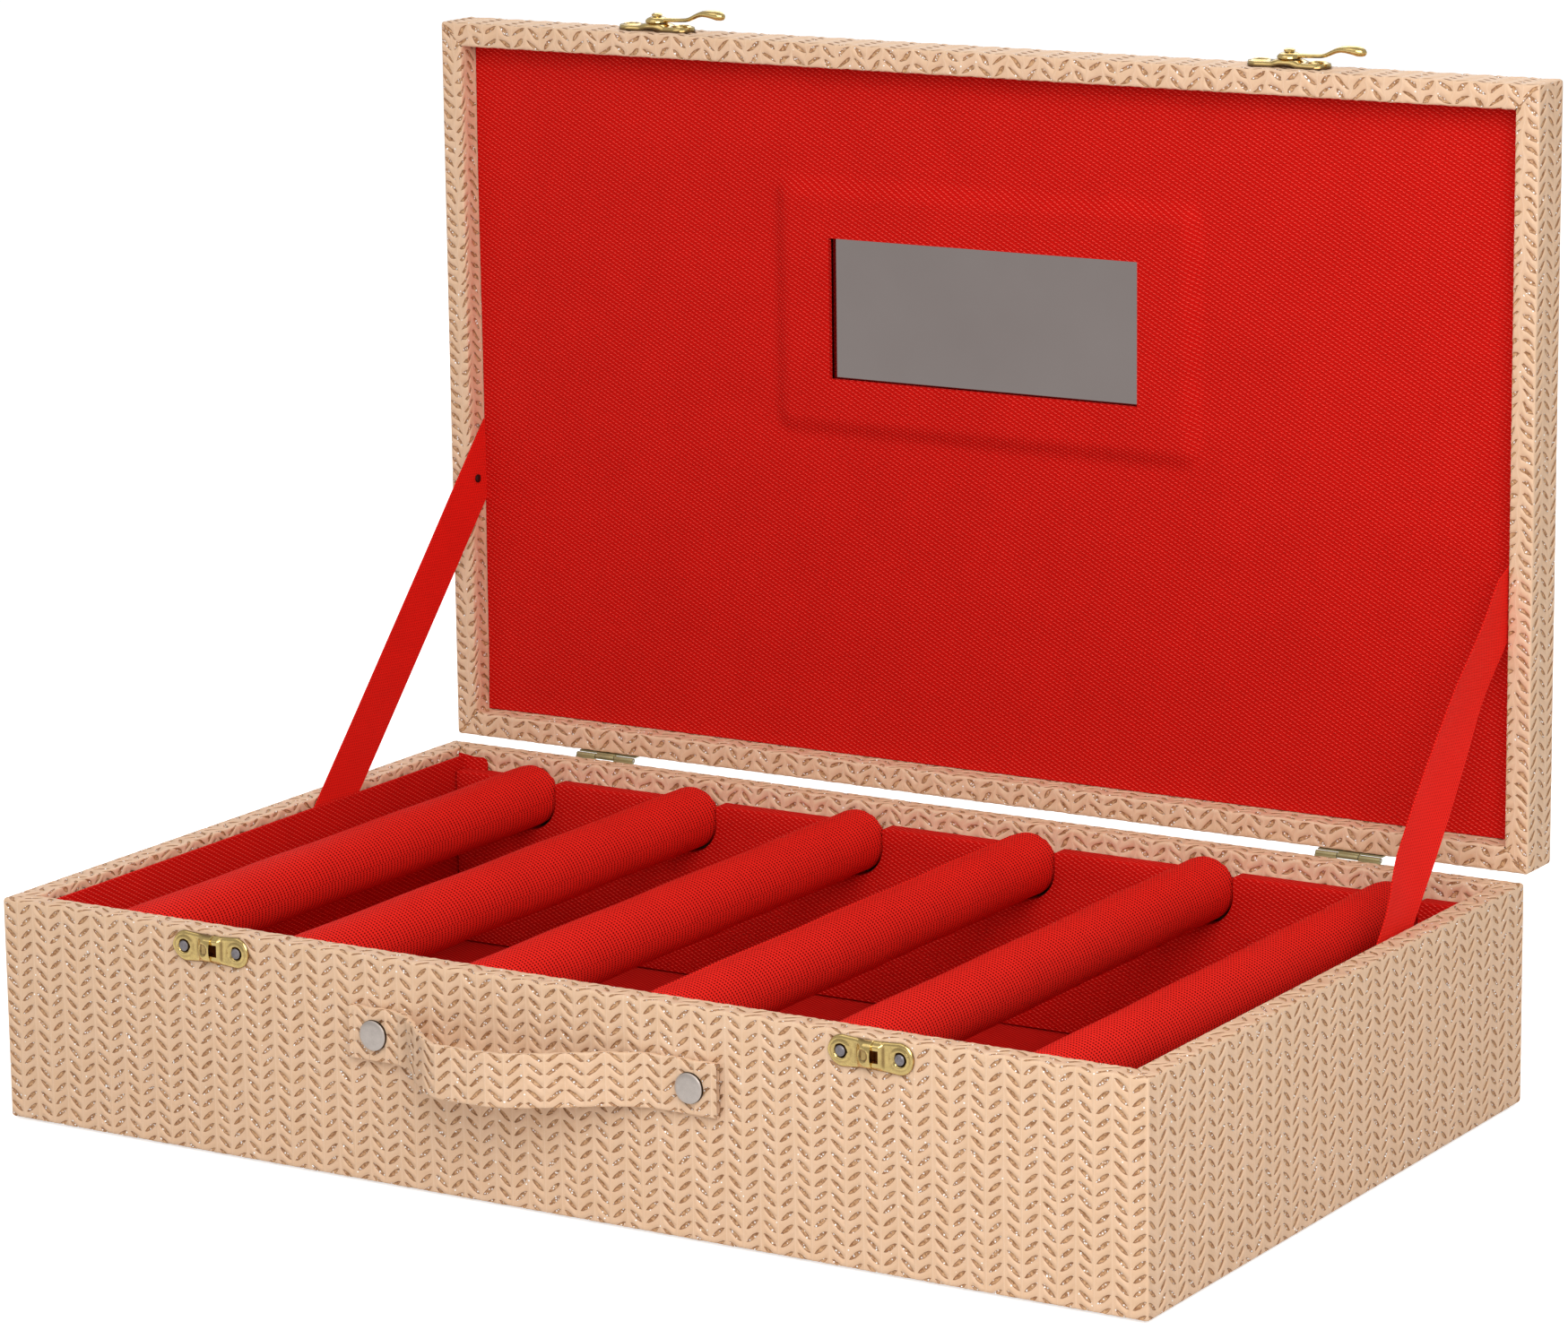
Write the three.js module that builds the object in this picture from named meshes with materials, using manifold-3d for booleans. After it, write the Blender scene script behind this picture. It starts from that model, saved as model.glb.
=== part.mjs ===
// A covered bangle box: a wooden tray with six lift-out rods, and a hinged lid
// with a small mirror, two swing hooks, two stay ribbons and a carrying strap.
// Millimetres. X to the right, Y to the back, Z up.
// The origin is the centre of the underside, and the lid stands open as it rests.

import * as THREE from 'three';
import Module from 'manifold-3d';
import { mergeVertices, toCreasedNormals } from 'three/addons/utils/BufferGeometryUtils.js';

const wasm = await Module();
wasm.setup();

// Whole box
const boxWidth = 420;
const boxDepth = 256;
const baseHeight = 74.5;
const lidHeight = 18.5;
const lidOpenDegrees = 90;
const closedGap = 0.8;

// Boards and covering
const boardThickness = 7;
const bottomThickness = 2.4;
const coverThickness = 0.65;
const glueGap = 0.15;
const edgeRadius = 1.6;
const creaseRadius = 0.3;
const coverFold = 15;
const sheetInset = 4;
const coverTurn = 14;
const runGap = 0.3;

// Red linings of the tray
const floorLiningThickness = 0.8;
const sideLiningThickness = 1.2;
const sideLiningDrop = 2.5;
const insertThickness = 7;
const insertDrop = 7;

// Bangle rods
const rodCount = 6;
const rodRadius = 10.8;
const rodDrop = 12.7;
const rodSkin = 0.8;
const rodShoulder = 2.5;
const rodCoreBevel = 1.2;
const rodEndHoleRadius = 3;

// Lid panel and mirror
const panelThickness = 1.8;
const panelEdgeGap = 1;
const mirrorWidth = 152;
const mirrorHeight = 76;
const mirrorThickness = 2;
const mirrorShift = 4;
const mirrorInset = 36.7;
const windowWidth = 119;
const windowHeight = 48.5;
const fieldSlope = 5;
const fieldMargin = 0.6;

// Hinges
const hingeInset = 64;
const hingeLength = 23.6;
const hingeAxisBehind = 1.4;
const hingeBarrelRadius = 1.1;
const hingePinRadius = 0.45;
const hingeLeafHeight = 10;
const hingeLeafThickness = 0.5;
const hingeLeafDrop = 1.2;
const hingeWeb = 0.9;
const hingeBarrelCount = 3;

// Latches: one plate with a stud and a swing hook on the lid, one catch on the tray
const latchInsets = [84.5, 92.5];
const plateLength = 29.5;
const plateWidth = 10;
const plateThickness = 0.8;
const plateWaist = 1;
const plateNailPitch = 20.4;
const nailHeadRadius = 2;
const nailHeadHeight = 0.7;
const nailShankRadius = 0.8;
const nailLength = 6;
const catchDrop = 6;
const hoodLength = 5.8;
const hoodWidth = 7;
const hoodHeight = 3.1;
const hoodWall = 0.5;
const hoodMouth = 1;
const slotLength = 2.4;
const slotHeight = 3.8;
const bossFootRadius = 6.5;
const bossTopRadius = 4.2;
const bossHeight = 1.1;
const studRadius = 1.1;
const studHeadRadius = 1.85;
const studHeadHeight = 1;
const ringRadius = 3.7;
const ringHeight = 1.9;
const armWidth = 2.8;
const armThickness = 1;
const armLift = 0.8;
const armStraight = 15.5;
const armRise = 2.2;
const armRiseLength = 4.5;
const hookLength = 27.5;
const knobLength = 7;
const knobWidth = 3.6;
const knobThickness = 2.5;
const toothAt = 16;
const toothWidth = 1.8;
const toothReach = 1.6;
const toothThickness = 1;
const toothDrop = 1.8;

// Carrying strap
const strapLength = 135.5;
const strapWidth = 17.4;
const strapThickness = 2.2;
const strapShift = -3.3;
const strapDrop = 24.7;
const strapBow = 16;
const strapSag = 3;
const rivetInset = 9.5;
const rivetCapRadius = 5.2;
const rivetCapHeight = 1.3;
const rivetShankRadius = 1.5;
const rivetShy = 1;
const strapRiseStartShare = 0.12;
const strapRiseLengthShare = 0.21;
const strapFallStartShare = 0.42;
const strapFallLengthShare = 0.44;

// Stay ribbons
const ribbonWidth = 20;
const ribbonThickness = 0.5;
const ribbonFootBack = 27;
const ribbonFootDrop = 24.5;
const ribbonNailFromHinge = 95;
const ribbonNailFromRim = 3;
const ribbonNailHeadRadius = 1.5;
const ribbonNailShankRadius = 0.6;
const ribbonNailLength = 4.5;

// Mesh fineness, the edge angle up to which shading stays smooth, and the overrun of every cutter
const cornerSteps = 3;
const smoothDegrees = 35;
const roundSegments = 24;
const smallSegments = 12;
const overrun = 1;

// Places that follow from the sizes above
const wall = boardThickness + 2 * (coverThickness + glueGap);
const skin = coverThickness + glueGap;
const halfWidth = boxWidth / 2;
const halfDepth = boxDepth / 2;
const innerHalfWidth = halfWidth - wall;
const innerHalfDepth = halfDepth - wall;
const foldFoot = coverThickness + glueGap;
const bottomFoot = foldFoot + skin;
const bottomTop = bottomFoot + bottomThickness;
const boardFoot = bottomTop + glueGap;
const boardTop = baseHeight - skin;
const floorTop = boardFoot + floorLiningThickness;
const liningFoot = floorTop + runGap;
const liningFace = innerHalfWidth - 2 * glueGap - ribbonThickness - runGap - sideLiningThickness;
const insertFace = innerHalfDepth - glueGap - insertThickness;
const sideLiningTop = baseHeight - sideLiningDrop;
const insertTop = baseHeight - insertDrop;
const rodAxisHeight = baseHeight - rodDrop;
const catchHeight = baseHeight - catchDrop;
const strapHeight = baseHeight - strapDrop;
const ribbonFootHeight = baseHeight - ribbonFootDrop;
const rodPitch = 2 * innerHalfWidth / rodCount;
const rodHalfLength = innerHalfDepth - runGap;
const rimHeight = baseHeight + closedGap;
const lidTop = rimHeight + lidHeight;
const lidBoardTop = lidTop - skin;
const lidBoardFoot = lidBoardTop - boardThickness;
const panelBack = lidBoardFoot - glueGap;
const panelRise = mirrorThickness + glueGap;
const hingeY = halfDepth + hingeAxisBehind;
const hingeZ = baseHeight + closedGap / 2;
const mirrorPlace = [mirrorShift, -mirrorInset];
const latchPlaces = [latchInsets[0] - halfWidth, halfWidth - latchInsets[1]];
const hingePlaces = [hingeInset - halfWidth, halfWidth - hingeInset];
const studHeight = rimHeight + lidHeight / 2;
const sideNames = ['left', 'right'];
const strapPlaces = [-strapLength / 2 + rivetInset, strapLength / 2 - rivetInset].map((x) => x + strapShift);

const finishes = {
  board: { color: 0xa98c68, roughness: 0.85, metalness: 0 },
  leatherette: { color: 0xd8b592, roughness: 0.6, metalness: 0 },
  redCard: { color: 0xb30f0d, roughness: 0.9, metalness: 0 },
  redKnit: { color: 0xc81b17, roughness: 0.9, metalness: 0 },
  ribbon: { color: 0xd01f1b, roughness: 0.7, metalness: 0 },
  brass: { color: 0xb8a15a, roughness: 0.3, metalness: 1 },
  steel: { color: 0xa49c98, roughness: 0.4, metalness: 1 },
  darkNail: { color: 0x4a4140, roughness: 0.5, metalness: 1 },
  mirror: { color: 0x8d8784, roughness: 0.05, metalness: 1 },
};

// A named mesh with its own material
function piece(name, geometry, finish) {
  const shaded = toCreasedNormals(geometry, THREE.MathUtils.degToRad(smoothDegrees));
  const mesh = new THREE.Mesh(shaded, new THREE.MeshStandardMaterial(finishes[finish]));
  mesh.name = name;
  return mesh;
}

// A closed geometry as a solid that can be joined and cut
function toSolid(geometry) {
  const bare = geometry.clone();
  bare.deleteAttribute('normal');
  bare.deleteAttribute('uv');
  const merged = mergeVertices(bare);
  const mesh = new wasm.Mesh({
    numProp: 3,
    vertProperties: new Float32Array(merged.attributes.position.array),
    triVerts: new Uint32Array(merged.index.array),
  });
  return new wasm.Manifold(mesh);
}

function toGeometry(solid) {
  const mesh = solid.getMesh();
  const geometry = new THREE.BufferGeometry();
  geometry.setAttribute('position', new THREE.BufferAttribute(new Float32Array(mesh.vertProperties), 3));
  geometry.setIndex(new THREE.BufferAttribute(new Uint32Array(mesh.triVerts), 1));
  geometry.computeVertexNormals();
  return geometry;
}

function join(...geometries) {
  return toGeometry(geometries.map(toSolid).reduce((whole, part) => whole.add(part)));
}

function cut(geometry, cutters) {
  return toGeometry(cutters.map(toSolid).reduce((whole, part) => whole.subtract(part), toSolid(geometry)));
}

function common(first, second) {
  return toGeometry(toSolid(first).intersect(toSolid(second)));
}

// A box from its lowest corner to its highest
function block(low, high) {
  const size = high.map((value, axis) => value - low[axis]);
  const centre = high.map((value, axis) => (value + low[axis]) / 2);
  return new THREE.BoxGeometry(...size).translate(...centre);
}

// A round bar along Y, from one depth to another
function barAlongY(radius, x, z, fromY, toY, segments = smallSegments) {
  const bar = new THREE.CylinderGeometry(radius, radius, toY - fromY, segments);
  return bar.translate(x, (fromY + toY) / 2, z);
}

// A round bar along X
function barAlongX(radius, y, z, fromX, toX, segments = smallSegments) {
  const bar = new THREE.CylinderGeometry(radius, radius, toX - fromX, segments);
  return bar.rotateZ(-Math.PI / 2).translate((fromX + toX) / 2, y, z);
}

// A flat shape drawn in X and Z, with its thickness running to the front from depth y
function plateInFront(shape, y, thickness, segments = roundSegments) {
  const options = { depth: thickness, bevelEnabled: false, curveSegments: segments };
  return new THREE.ExtrudeGeometry(shape, options).rotateX(Math.PI / 2).translate(0, y, 0);
}

// A rectangle with rounded corners at height z, as a ring of points
function roundedRing({ x0, x1, y0, y1, z, radius }) {
  const corners = [[x1 - radius, y0 + radius], [x1 - radius, y1 - radius],
    [x0 + radius, y1 - radius], [x0 + radius, y0 + radius]];
  const points = [];
  corners.forEach(([x, y], corner) => {
    for (let step = 0; step <= cornerSteps; step += 1) {
      const angle = (corner - 1 + step / cornerSteps) * Math.PI / 2;
      points.push([x + radius * Math.cos(angle), y + radius * Math.sin(angle), z]);
    }
  });
  return points;
}

// A closed body whose section, given as rounded rectangles, runs round the box.
// The section closes on itself, or its first and last ring are capped.
function bodyOfRings(stations, capped) {
  const rings = stations.map(roundedRing);
  const around = rings[0].length;
  const positions = rings.flat();
  const triangles = [];
  const last = capped ? rings.length - 1 : rings.length;
  for (let ring = 0; ring < last; ring += 1) {
    const next = (ring + 1) % rings.length;
    for (let step = 0; step < around; step += 1) {
      const a = ring * around + step;
      const b = ring * around + (step + 1) % around;
      const c = next * around + (step + 1) % around;
      const d = next * around + step;
      triangles.push(a, b, c, a, c, d);
    }
  }
  if (capped) {
    for (let step = 1; step < around - 1; step += 1) {
      const end = (rings.length - 1) * around;
      triangles.push(0, step + 1, step);
      triangles.push(end, end + step, end + step + 1);
    }
  }
  const geometry = new THREE.BufferGeometry();
  geometry.setAttribute('position', new THREE.Float32BufferAttribute(positions.flat(), 3));
  geometry.setIndex(triangles);
  geometry.computeVertexNormals();
  return geometry;
}

// A ring of the box, set in from its outer faces
function insetRing(inset, z, radius) {
  return {
    x0: inset - halfWidth,
    x1: halfWidth - inset,
    y0: inset - halfDepth,
    y1: halfDepth - inset,
    z,
    radius: Math.max(radius, creaseRadius),
  };
}

// The stations of a rounded rim, from the outer wall over the edge to the inner wall.
// side is 1 where the rim faces up and -1 where it faces down.
function rimStations(z, side) {
  const stations = [];
  for (let step = 0; step <= cornerSteps; step += 1) {
    const angle = step / cornerSteps * Math.PI / 2;
    const inset = edgeRadius * (1 - Math.cos(angle));
    stations.push(insetRing(inset, z - side * edgeRadius * (1 - Math.sin(angle)), edgeRadius));
  }
  for (let step = 0; step <= cornerSteps; step += 1) {
    const angle = step / cornerSteps * Math.PI / 2;
    const inset = wall - edgeRadius * (1 - Math.sin(angle));
    stations.push(insetRing(inset, z - side * edgeRadius * (1 - Math.cos(angle)), creaseRadius));
  }
  return stations;
}

// A small nail: a domed head and a plain shank with a point, along Y, head end up
function nail(headRadius, headHeight, shankRadius, length) {
  const profile = [
    new THREE.Vector2(0, -length),
    new THREE.Vector2(shankRadius, shankRadius - length),
    new THREE.Vector2(shankRadius, 0),
    new THREE.Vector2(headRadius, 0),
    new THREE.Vector2(headRadius, headHeight / 2),
    new THREE.Vector2(headRadius / 2, headHeight),
    new THREE.Vector2(0, headHeight),
  ];
  return new THREE.LatheGeometry(profile, smallSegments);
}

// Where the nails of one latch or catch plate stand
function plateNailPlaces(centre) {
  return [centre - plateNailPitch / 2, centre + plateNailPitch / 2];
}

// Holes for nails through the front of the tray or the lid
function nailHoles(radius, places, z, fromY, toY) {
  return places.map((x) => barAlongY(radius + runGap, x, z, fromY, toY));
}

const allPlateNails = latchPlaces.flatMap(plateNailPlaces);

// Tray: boards, covering and underside

function trayBoards() {
  const outerX = halfWidth - skin;
  const outerY = halfDepth - skin;
  const innerY = outerY - boardThickness;
  const bottom = block([-outerX, -outerY, bottomFoot], [outerX, outerY, bottomTop]);
  const frontHoles = [
    ...nailHoles(nailShankRadius, allPlateNails, catchHeight, -outerY - overrun, -innerY + overrun),
    ...nailHoles(rivetShankRadius, strapPlaces, strapHeight, -outerY - overrun, -innerY + overrun),
  ];
  const front = cut(block([-outerX, -outerY, boardFoot], [outerX, -innerY, boardTop]), frontHoles);
  const back = block([-outerX, innerY, boardFoot], [outerX, outerY, boardTop]);
  const sides = [-1, 1].map((side) => {
    const edges = [side * outerX, side * (outerX - boardThickness)].sort((a, b) => a - b);
    const reach = innerY - glueGap;
    return block([edges[0], -reach, boardFoot], [edges[1], reach, boardTop]);
  });
  return [
    piece('tray_bottom_board', bottom, 'board'),
    piece('tray_front_board', front, 'board'),
    piece('tray_back_board', back, 'board'),
    ...sides.map((side, index) => piece(`tray_${sideNames[index]}_board`, side, 'board')),
  ];
}

function trayCover() {
  const inner = wall - coverThickness;
  const stations = [
    insetRing(coverFold, foldFoot, creaseRadius),
    insetRing(0, foldFoot, edgeRadius),
    ...rimStations(baseHeight, 1),
    insetRing(wall, baseHeight - coverTurn, creaseRadius),
    insetRing(inner, baseHeight - coverTurn, creaseRadius),
    insetRing(inner, baseHeight - coverThickness, creaseRadius),
    insetRing(coverThickness, baseHeight - coverThickness, creaseRadius),
    insetRing(coverThickness, foldFoot + coverThickness, creaseRadius),
    insetRing(coverFold, foldFoot + coverThickness, creaseRadius),
  ];
  const front = -halfDepth - overrun;
  const behind = -halfDepth + skin + overrun;
  const holes = [
    ...nailHoles(nailShankRadius, allPlateNails, catchHeight, front, behind),
    ...nailHoles(rivetShankRadius, strapPlaces, strapHeight, front, behind),
  ];
  return piece('tray_cover', cut(bodyOfRings(stations, false), holes), 'leatherette');
}

// The sheet that the tray stands on hides the folds of its covering
function undersideSheet() {
  const x = halfWidth - sheetInset;
  const y = halfDepth - sheetInset;
  return piece('underside_sheet', block([-x, -y, 0], [x, y, coverThickness]), 'leatherette');
}

// Tray: red linings and notched inserts

function floorLining() {
  const x = innerHalfWidth - runGap;
  const y = innerHalfDepth - runGap;
  return piece('floor_lining', block([-x, -y, boardFoot], [x, y, floorTop]), 'redCard');
}

function sideLinings() {
  const reach = innerHalfDepth - runGap;
  return [-1, 1].map((side, index) => {
    const faces = [side * liningFace, side * (liningFace + sideLiningThickness)].sort((a, b) => a - b);
    const sheet = block([faces[0], -reach, liningFoot], [faces[1], reach, sideLiningTop]);
    return piece(`${sideNames[index]}_lining`, sheet, 'redCard');
  });
}

function rodPlace(index) {
  return (index - (rodCount - 1) / 2) * rodPitch;
}

// The outline of an insert in X and Z, with a U notch for each rod
function insertOutline() {
  const reach = liningFace - runGap;
  const notch = rodRadius + runGap;
  const outline = new THREE.Shape();
  outline.moveTo(-reach, liningFoot);
  outline.lineTo(reach, liningFoot);
  outline.lineTo(reach, insertTop);
  for (let index = rodCount - 1; index >= 0; index -= 1) {
    const x = rodPlace(index);
    outline.lineTo(x + notch, insertTop);
    outline.lineTo(x + notch, rodAxisHeight);
    outline.absarc(x, rodAxisHeight, notch, 0, -Math.PI, true);
    outline.lineTo(x - notch, insertTop);
  }
  outline.lineTo(-reach, insertTop);
  outline.closePath();
  return outline;
}

function inserts() {
  const fineness = roundSegments / 2;
  return [
    piece('front_insert', plateInFront(insertOutline(), -insertFace, insertThickness, fineness), 'redCard'),
    piece('back_insert', plateInFront(insertOutline(), insertFace + insertThickness, insertThickness, fineness),
      'redCard'),
  ];
}

// Rods: a round core in a knitted sleeve that folds over both ends

function rodCore() {
  const radius = rodRadius - rodSkin - runGap;
  const half = rodHalfLength - rodSkin - runGap;
  const profile = [
    new THREE.Vector2(0, -half),
    new THREE.Vector2(radius - rodCoreBevel, -half),
    new THREE.Vector2(radius, rodCoreBevel - half),
    new THREE.Vector2(radius, half - rodCoreBevel),
    new THREE.Vector2(radius - rodCoreBevel, half),
    new THREE.Vector2(0, half),
  ];
  return new THREE.LatheGeometry(profile, roundSegments);
}

// One shoulder of the sleeve, as points from the side towards the end
function shoulderPoints(radius, half, round) {
  const points = [];
  for (let step = 0; step <= cornerSteps; step += 1) {
    const angle = step / cornerSteps * Math.PI / 2;
    const across = radius - round + round * Math.cos(angle);
    points.push(new THREE.Vector2(across, half - round + round * Math.sin(angle)));
  }
  return points;
}

function rodSleeve() {
  const outer = shoulderPoints(rodRadius, rodHalfLength, rodShoulder);
  const inner = [
    new THREE.Vector2(rodRadius - rodSkin, rodHalfLength - rodShoulder),
    new THREE.Vector2(rodRadius - rodShoulder, rodHalfLength - rodSkin),
  ];
  const flipped = (points) => points.map((point) => new THREE.Vector2(point.x, -point.y)).reverse();
  const profile = [
    new THREE.Vector2(rodEndHoleRadius, -rodHalfLength),
    ...flipped(outer),
    ...outer,
    new THREE.Vector2(rodEndHoleRadius, rodHalfLength),
    new THREE.Vector2(rodEndHoleRadius, rodHalfLength - rodSkin),
    ...[...inner].reverse(),
    ...[...flipped(inner)].reverse(),
    new THREE.Vector2(rodEndHoleRadius, rodSkin - rodHalfLength),
    new THREE.Vector2(rodEndHoleRadius, -rodHalfLength),
  ];
  return new THREE.LatheGeometry(profile, roundSegments);
}

function rods() {
  const pieces = [];
  for (let index = 0; index < rodCount; index += 1) {
    const parts = [
      piece(`rod_${index + 1}_core`, rodCore(), 'board'),
      piece(`rod_${index + 1}_sleeve`, rodSleeve(), 'redKnit'),
    ];
    parts.forEach((part) => part.position.set(rodPlace(index), 0, rodAxisHeight));
    pieces.push(...parts);
  }
  return pieces;
}

// Carrying strap and its rivets

function smooth(value) {
  const t = THREE.MathUtils.clamp(value, 0, 1);
  return t * t * (3 - 2 * t);
}

// How far the strap stands off, from 0 at its flat ends to 1 at the finger gap
function strapSwell(share) {
  const rise = smooth((share - strapRiseStartShare) / strapRiseLengthShare);
  const fall = smooth((share - strapFallStartShare) / strapFallLengthShare);
  return rise * (1 - fall);
}

function strapMiddle(share) {
  const swell = strapSwell(share);
  return new THREE.Vector3(
    strapShift + (share - 1 / 2) * strapLength,
    -halfDepth - glueGap - strapThickness / 2 - strapBow * swell,
    strapHeight - strapSag * swell,
  );
}

function strapBody() {
  const steps = 2 * roundSegments;
  const positions = [];
  const triangles = [];
  for (let step = 0; step <= steps; step += 1) {
    const middle = strapMiddle(step / steps);
    const before = strapMiddle((step - 1 / 2) / steps);
    const after = strapMiddle((step + 1 / 2) / steps);
    const along = new THREE.Vector2(after.x - before.x, after.y - before.y).normalize();
    const sideX = along.y * strapThickness / 2;
    const sideY = -along.x * strapThickness / 2;
    for (const [side, up] of [[1, -1], [-1, -1], [-1, 1], [1, 1]]) {
      positions.push(middle.x + side * sideX, middle.y + side * sideY, middle.z + up * strapWidth / 2);
    }
    if (step < steps) {
      for (let edge = 0; edge < 4; edge += 1) {
        const a = step * 4 + edge;
        const b = step * 4 + (edge + 1) % 4;
        triangles.push(a, b, b + 4, a, b + 4, a + 4);
      }
    }
  }
  const end = steps * 4;
  triangles.push(0, 2, 1, 0, 3, 2, end, end + 1, end + 2, end, end + 2, end + 3);
  const geometry = new THREE.BufferGeometry();
  geometry.setAttribute('position', new THREE.Float32BufferAttribute(positions, 3));
  geometry.setIndex(triangles);
  geometry.computeVertexNormals();
  return geometry;
}

function carryingStrap() {
  const front = -halfDepth - strapThickness - overrun;
  const holes = strapPlaces.map((x) => barAlongY(rivetShankRadius + runGap, x, strapHeight, front, -halfDepth));
  return piece('carrying_strap', cut(strapBody(), holes), 'leatherette');
}

function rivets() {
  const seat = -halfDepth - 2 * glueGap - strapThickness;
  const tip = -halfDepth + skin + boardThickness - rivetShy;
  return strapPlaces.map((x, index) => {
    const rivet = nail(rivetCapRadius, rivetCapHeight, rivetShankRadius, tip - seat);
    rivet.rotateX(Math.PI).translate(x, seat, strapHeight);
    return piece(`strap_rivet_${sideNames[index]}`, rivet, 'steel');
  });
}

// Latch fittings

// A long plate with round ends and a slight waist, in X and Z about its centre
function plateOutline(x, z) {
  const half = plateLength / 2;
  const round = plateWidth / 2;
  const outline = new THREE.Shape();
  outline.moveTo(x + half - round, z - round);
  outline.absarc(x + half - round, z, round, -Math.PI / 2, Math.PI / 2, false);
  outline.quadraticCurveTo(x, z + round - plateWaist, x - half + round, z + round);
  outline.absarc(x - half + round, z, round, Math.PI / 2, 3 * Math.PI / 2, false);
  outline.quadraticCurveTo(x, z - round + plateWaist, x + half - round, z - round);
  return outline;
}

// A hollow quarter-round hood that is open to the right
function catchHood(x, z, face) {
  const foot = plateThickness / 2;
  const shell = (wallInset) => {
    const dome = new THREE.SphereGeometry(1, smallSegments, smallSegments);
    dome.scale(hoodLength - wallInset, hoodHeight - wallInset, hoodWidth / 2 - wallInset);
    return dome.translate(x + hoodMouth, face, z);
  };
  const keep = block([x + hoodMouth - hoodLength, face - hoodHeight - overrun, z - hoodWidth],
    [x + hoodMouth, face - foot, z + hoodWidth]);
  return cut(common(shell(0), keep), [shell(hoodWall)]);
}

function catches() {
  const face = -halfDepth - glueGap;
  return latchPlaces.map((x, index) => {
    const plate = plateInFront(plateOutline(x, catchHeight), face, plateThickness, smallSegments);
    const slot = block([x + hoodMouth, face - plateThickness - overrun, catchHeight - slotHeight / 2],
      [x + hoodMouth + slotLength, face + overrun, catchHeight + slotHeight / 2]);
    const holes = nailHoles(nailShankRadius, plateNailPlaces(x), catchHeight, face - plateThickness - overrun,
      face + overrun);
    const body = cut(join(plate, catchHood(x, catchHeight, face)), [slot, ...holes]);
    return piece(`catch_plate_${sideNames[index]}`, body, 'brass');
  });
}

// The nails of both plates of one row, at height z, tray or lid
function plateNails(name, z) {
  const seat = -halfDepth - 2 * glueGap - plateThickness;
  return allPlateNails.map((x, index) => {
    const body = nail(nailHeadRadius, nailHeadHeight, nailShankRadius, nailLength);
    body.rotateX(Math.PI).translate(x, seat, z);
    return piece(`${name}_nail_${index + 1}`, body, 'steel');
  });
}

// The lid's plate: a pressed boss carries the riveted stud that the hook turns on
function latchPlates() {
  const face = -halfDepth - glueGap;
  const top = face - plateThickness - bossHeight;
  return latchPlaces.map((x, index) => {
    const plate = plateInFront(plateOutline(x, studHeight), face, plateThickness, smallSegments);
    const boss = new THREE.CylinderGeometry(bossFootRadius, bossTopRadius, bossHeight, roundSegments);
    boss.translate(x, face - plateThickness - bossHeight / 2, studHeight);
    const reach = plateInFront(plateOutline(x, studHeight), face, plateThickness + bossHeight + overrun,
      smallSegments);
    const foot = face - plateThickness / 2;
    const stem = barAlongY(bossTopRadius, x, studHeight, top + bossHeight / 2, foot);
    const shank = barAlongY(studRadius, x, studHeight, top - ringHeight - runGap - studHeadHeight / 2, foot);
    const head = nail(studHeadRadius, studHeadHeight, studRadius, studHeadHeight);
    head.rotateX(Math.PI).translate(x, top - ringHeight - 2 * runGap, studHeight);
    const body = join(plate, common(boss, reach), stem, shank, head);
    const holes = nailHoles(nailShankRadius, plateNailPlaces(x), studHeight, face - plateThickness - overrun,
      face + overrun);
    return piece(`latch_plate_${sideNames[index]}`, cut(body, holes), 'brass');
  });
}

// A swing hook about its own pivot: X along the arm, -Y away from the lid, Z across.
// It has a ring, an arm that steps up to a knob, and a tooth on its lower side.
function hookBody() {
  const ringProfile = [
    new THREE.Vector2(studRadius + runGap, 0),
    new THREE.Vector2(ringRadius, 0),
    new THREE.Vector2(ringRadius, ringHeight / 2),
    new THREE.Vector2(ringRadius - ringHeight / 2, ringHeight),
    new THREE.Vector2(studRadius + runGap, ringHeight),
    new THREE.Vector2(studRadius + runGap, 0),
  ];
  const ring = new THREE.LatheGeometry(ringProfile, roundSegments).rotateX(Math.PI);
  const start = (studRadius + runGap + ringRadius) / 2;
  const stepEnd = armStraight + armRiseLength;
  const tip = hookLength - knobLength / 2;
  const side = new THREE.Shape();
  side.moveTo(start, -armLift);
  side.lineTo(armStraight, -armLift);
  side.lineTo(stepEnd, -armLift - armRise);
  side.lineTo(tip, -armLift - armRise);
  side.lineTo(tip, -armLift - armRise - armThickness);
  side.lineTo(stepEnd - armThickness / 2, -armLift - armRise - armThickness);
  side.lineTo(armStraight - armThickness / 2, -armLift - armThickness);
  side.lineTo(start, -armLift - armThickness);
  side.closePath();
  const arm = new THREE.ExtrudeGeometry(side, { depth: armWidth, bevelEnabled: false });
  arm.translate(0, 0, -armWidth / 2);
  const knob = new THREE.SphereGeometry(1, smallSegments, smallSegments);
  knob.scale(knobLength / 2, knobThickness / 2, knobWidth / 2);
  knob.translate(tip, -armLift - armRise - armThickness / 2, 0);
  const toothX = [toothAt - toothWidth / 2, toothAt + toothWidth / 2];
  const low = toothDrop - armLift;
  const post = block([toothX[0], -armLift - armThickness / 2, -armWidth / 2],
    [toothX[1], low, toothThickness - armWidth / 2]);
  const finger = block([toothX[0], low - toothThickness, -armWidth / 2 - toothReach],
    [toothX[1], low, toothThickness - armWidth / 2]);
  return join(ring, arm, knob, post, finger);
}

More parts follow.
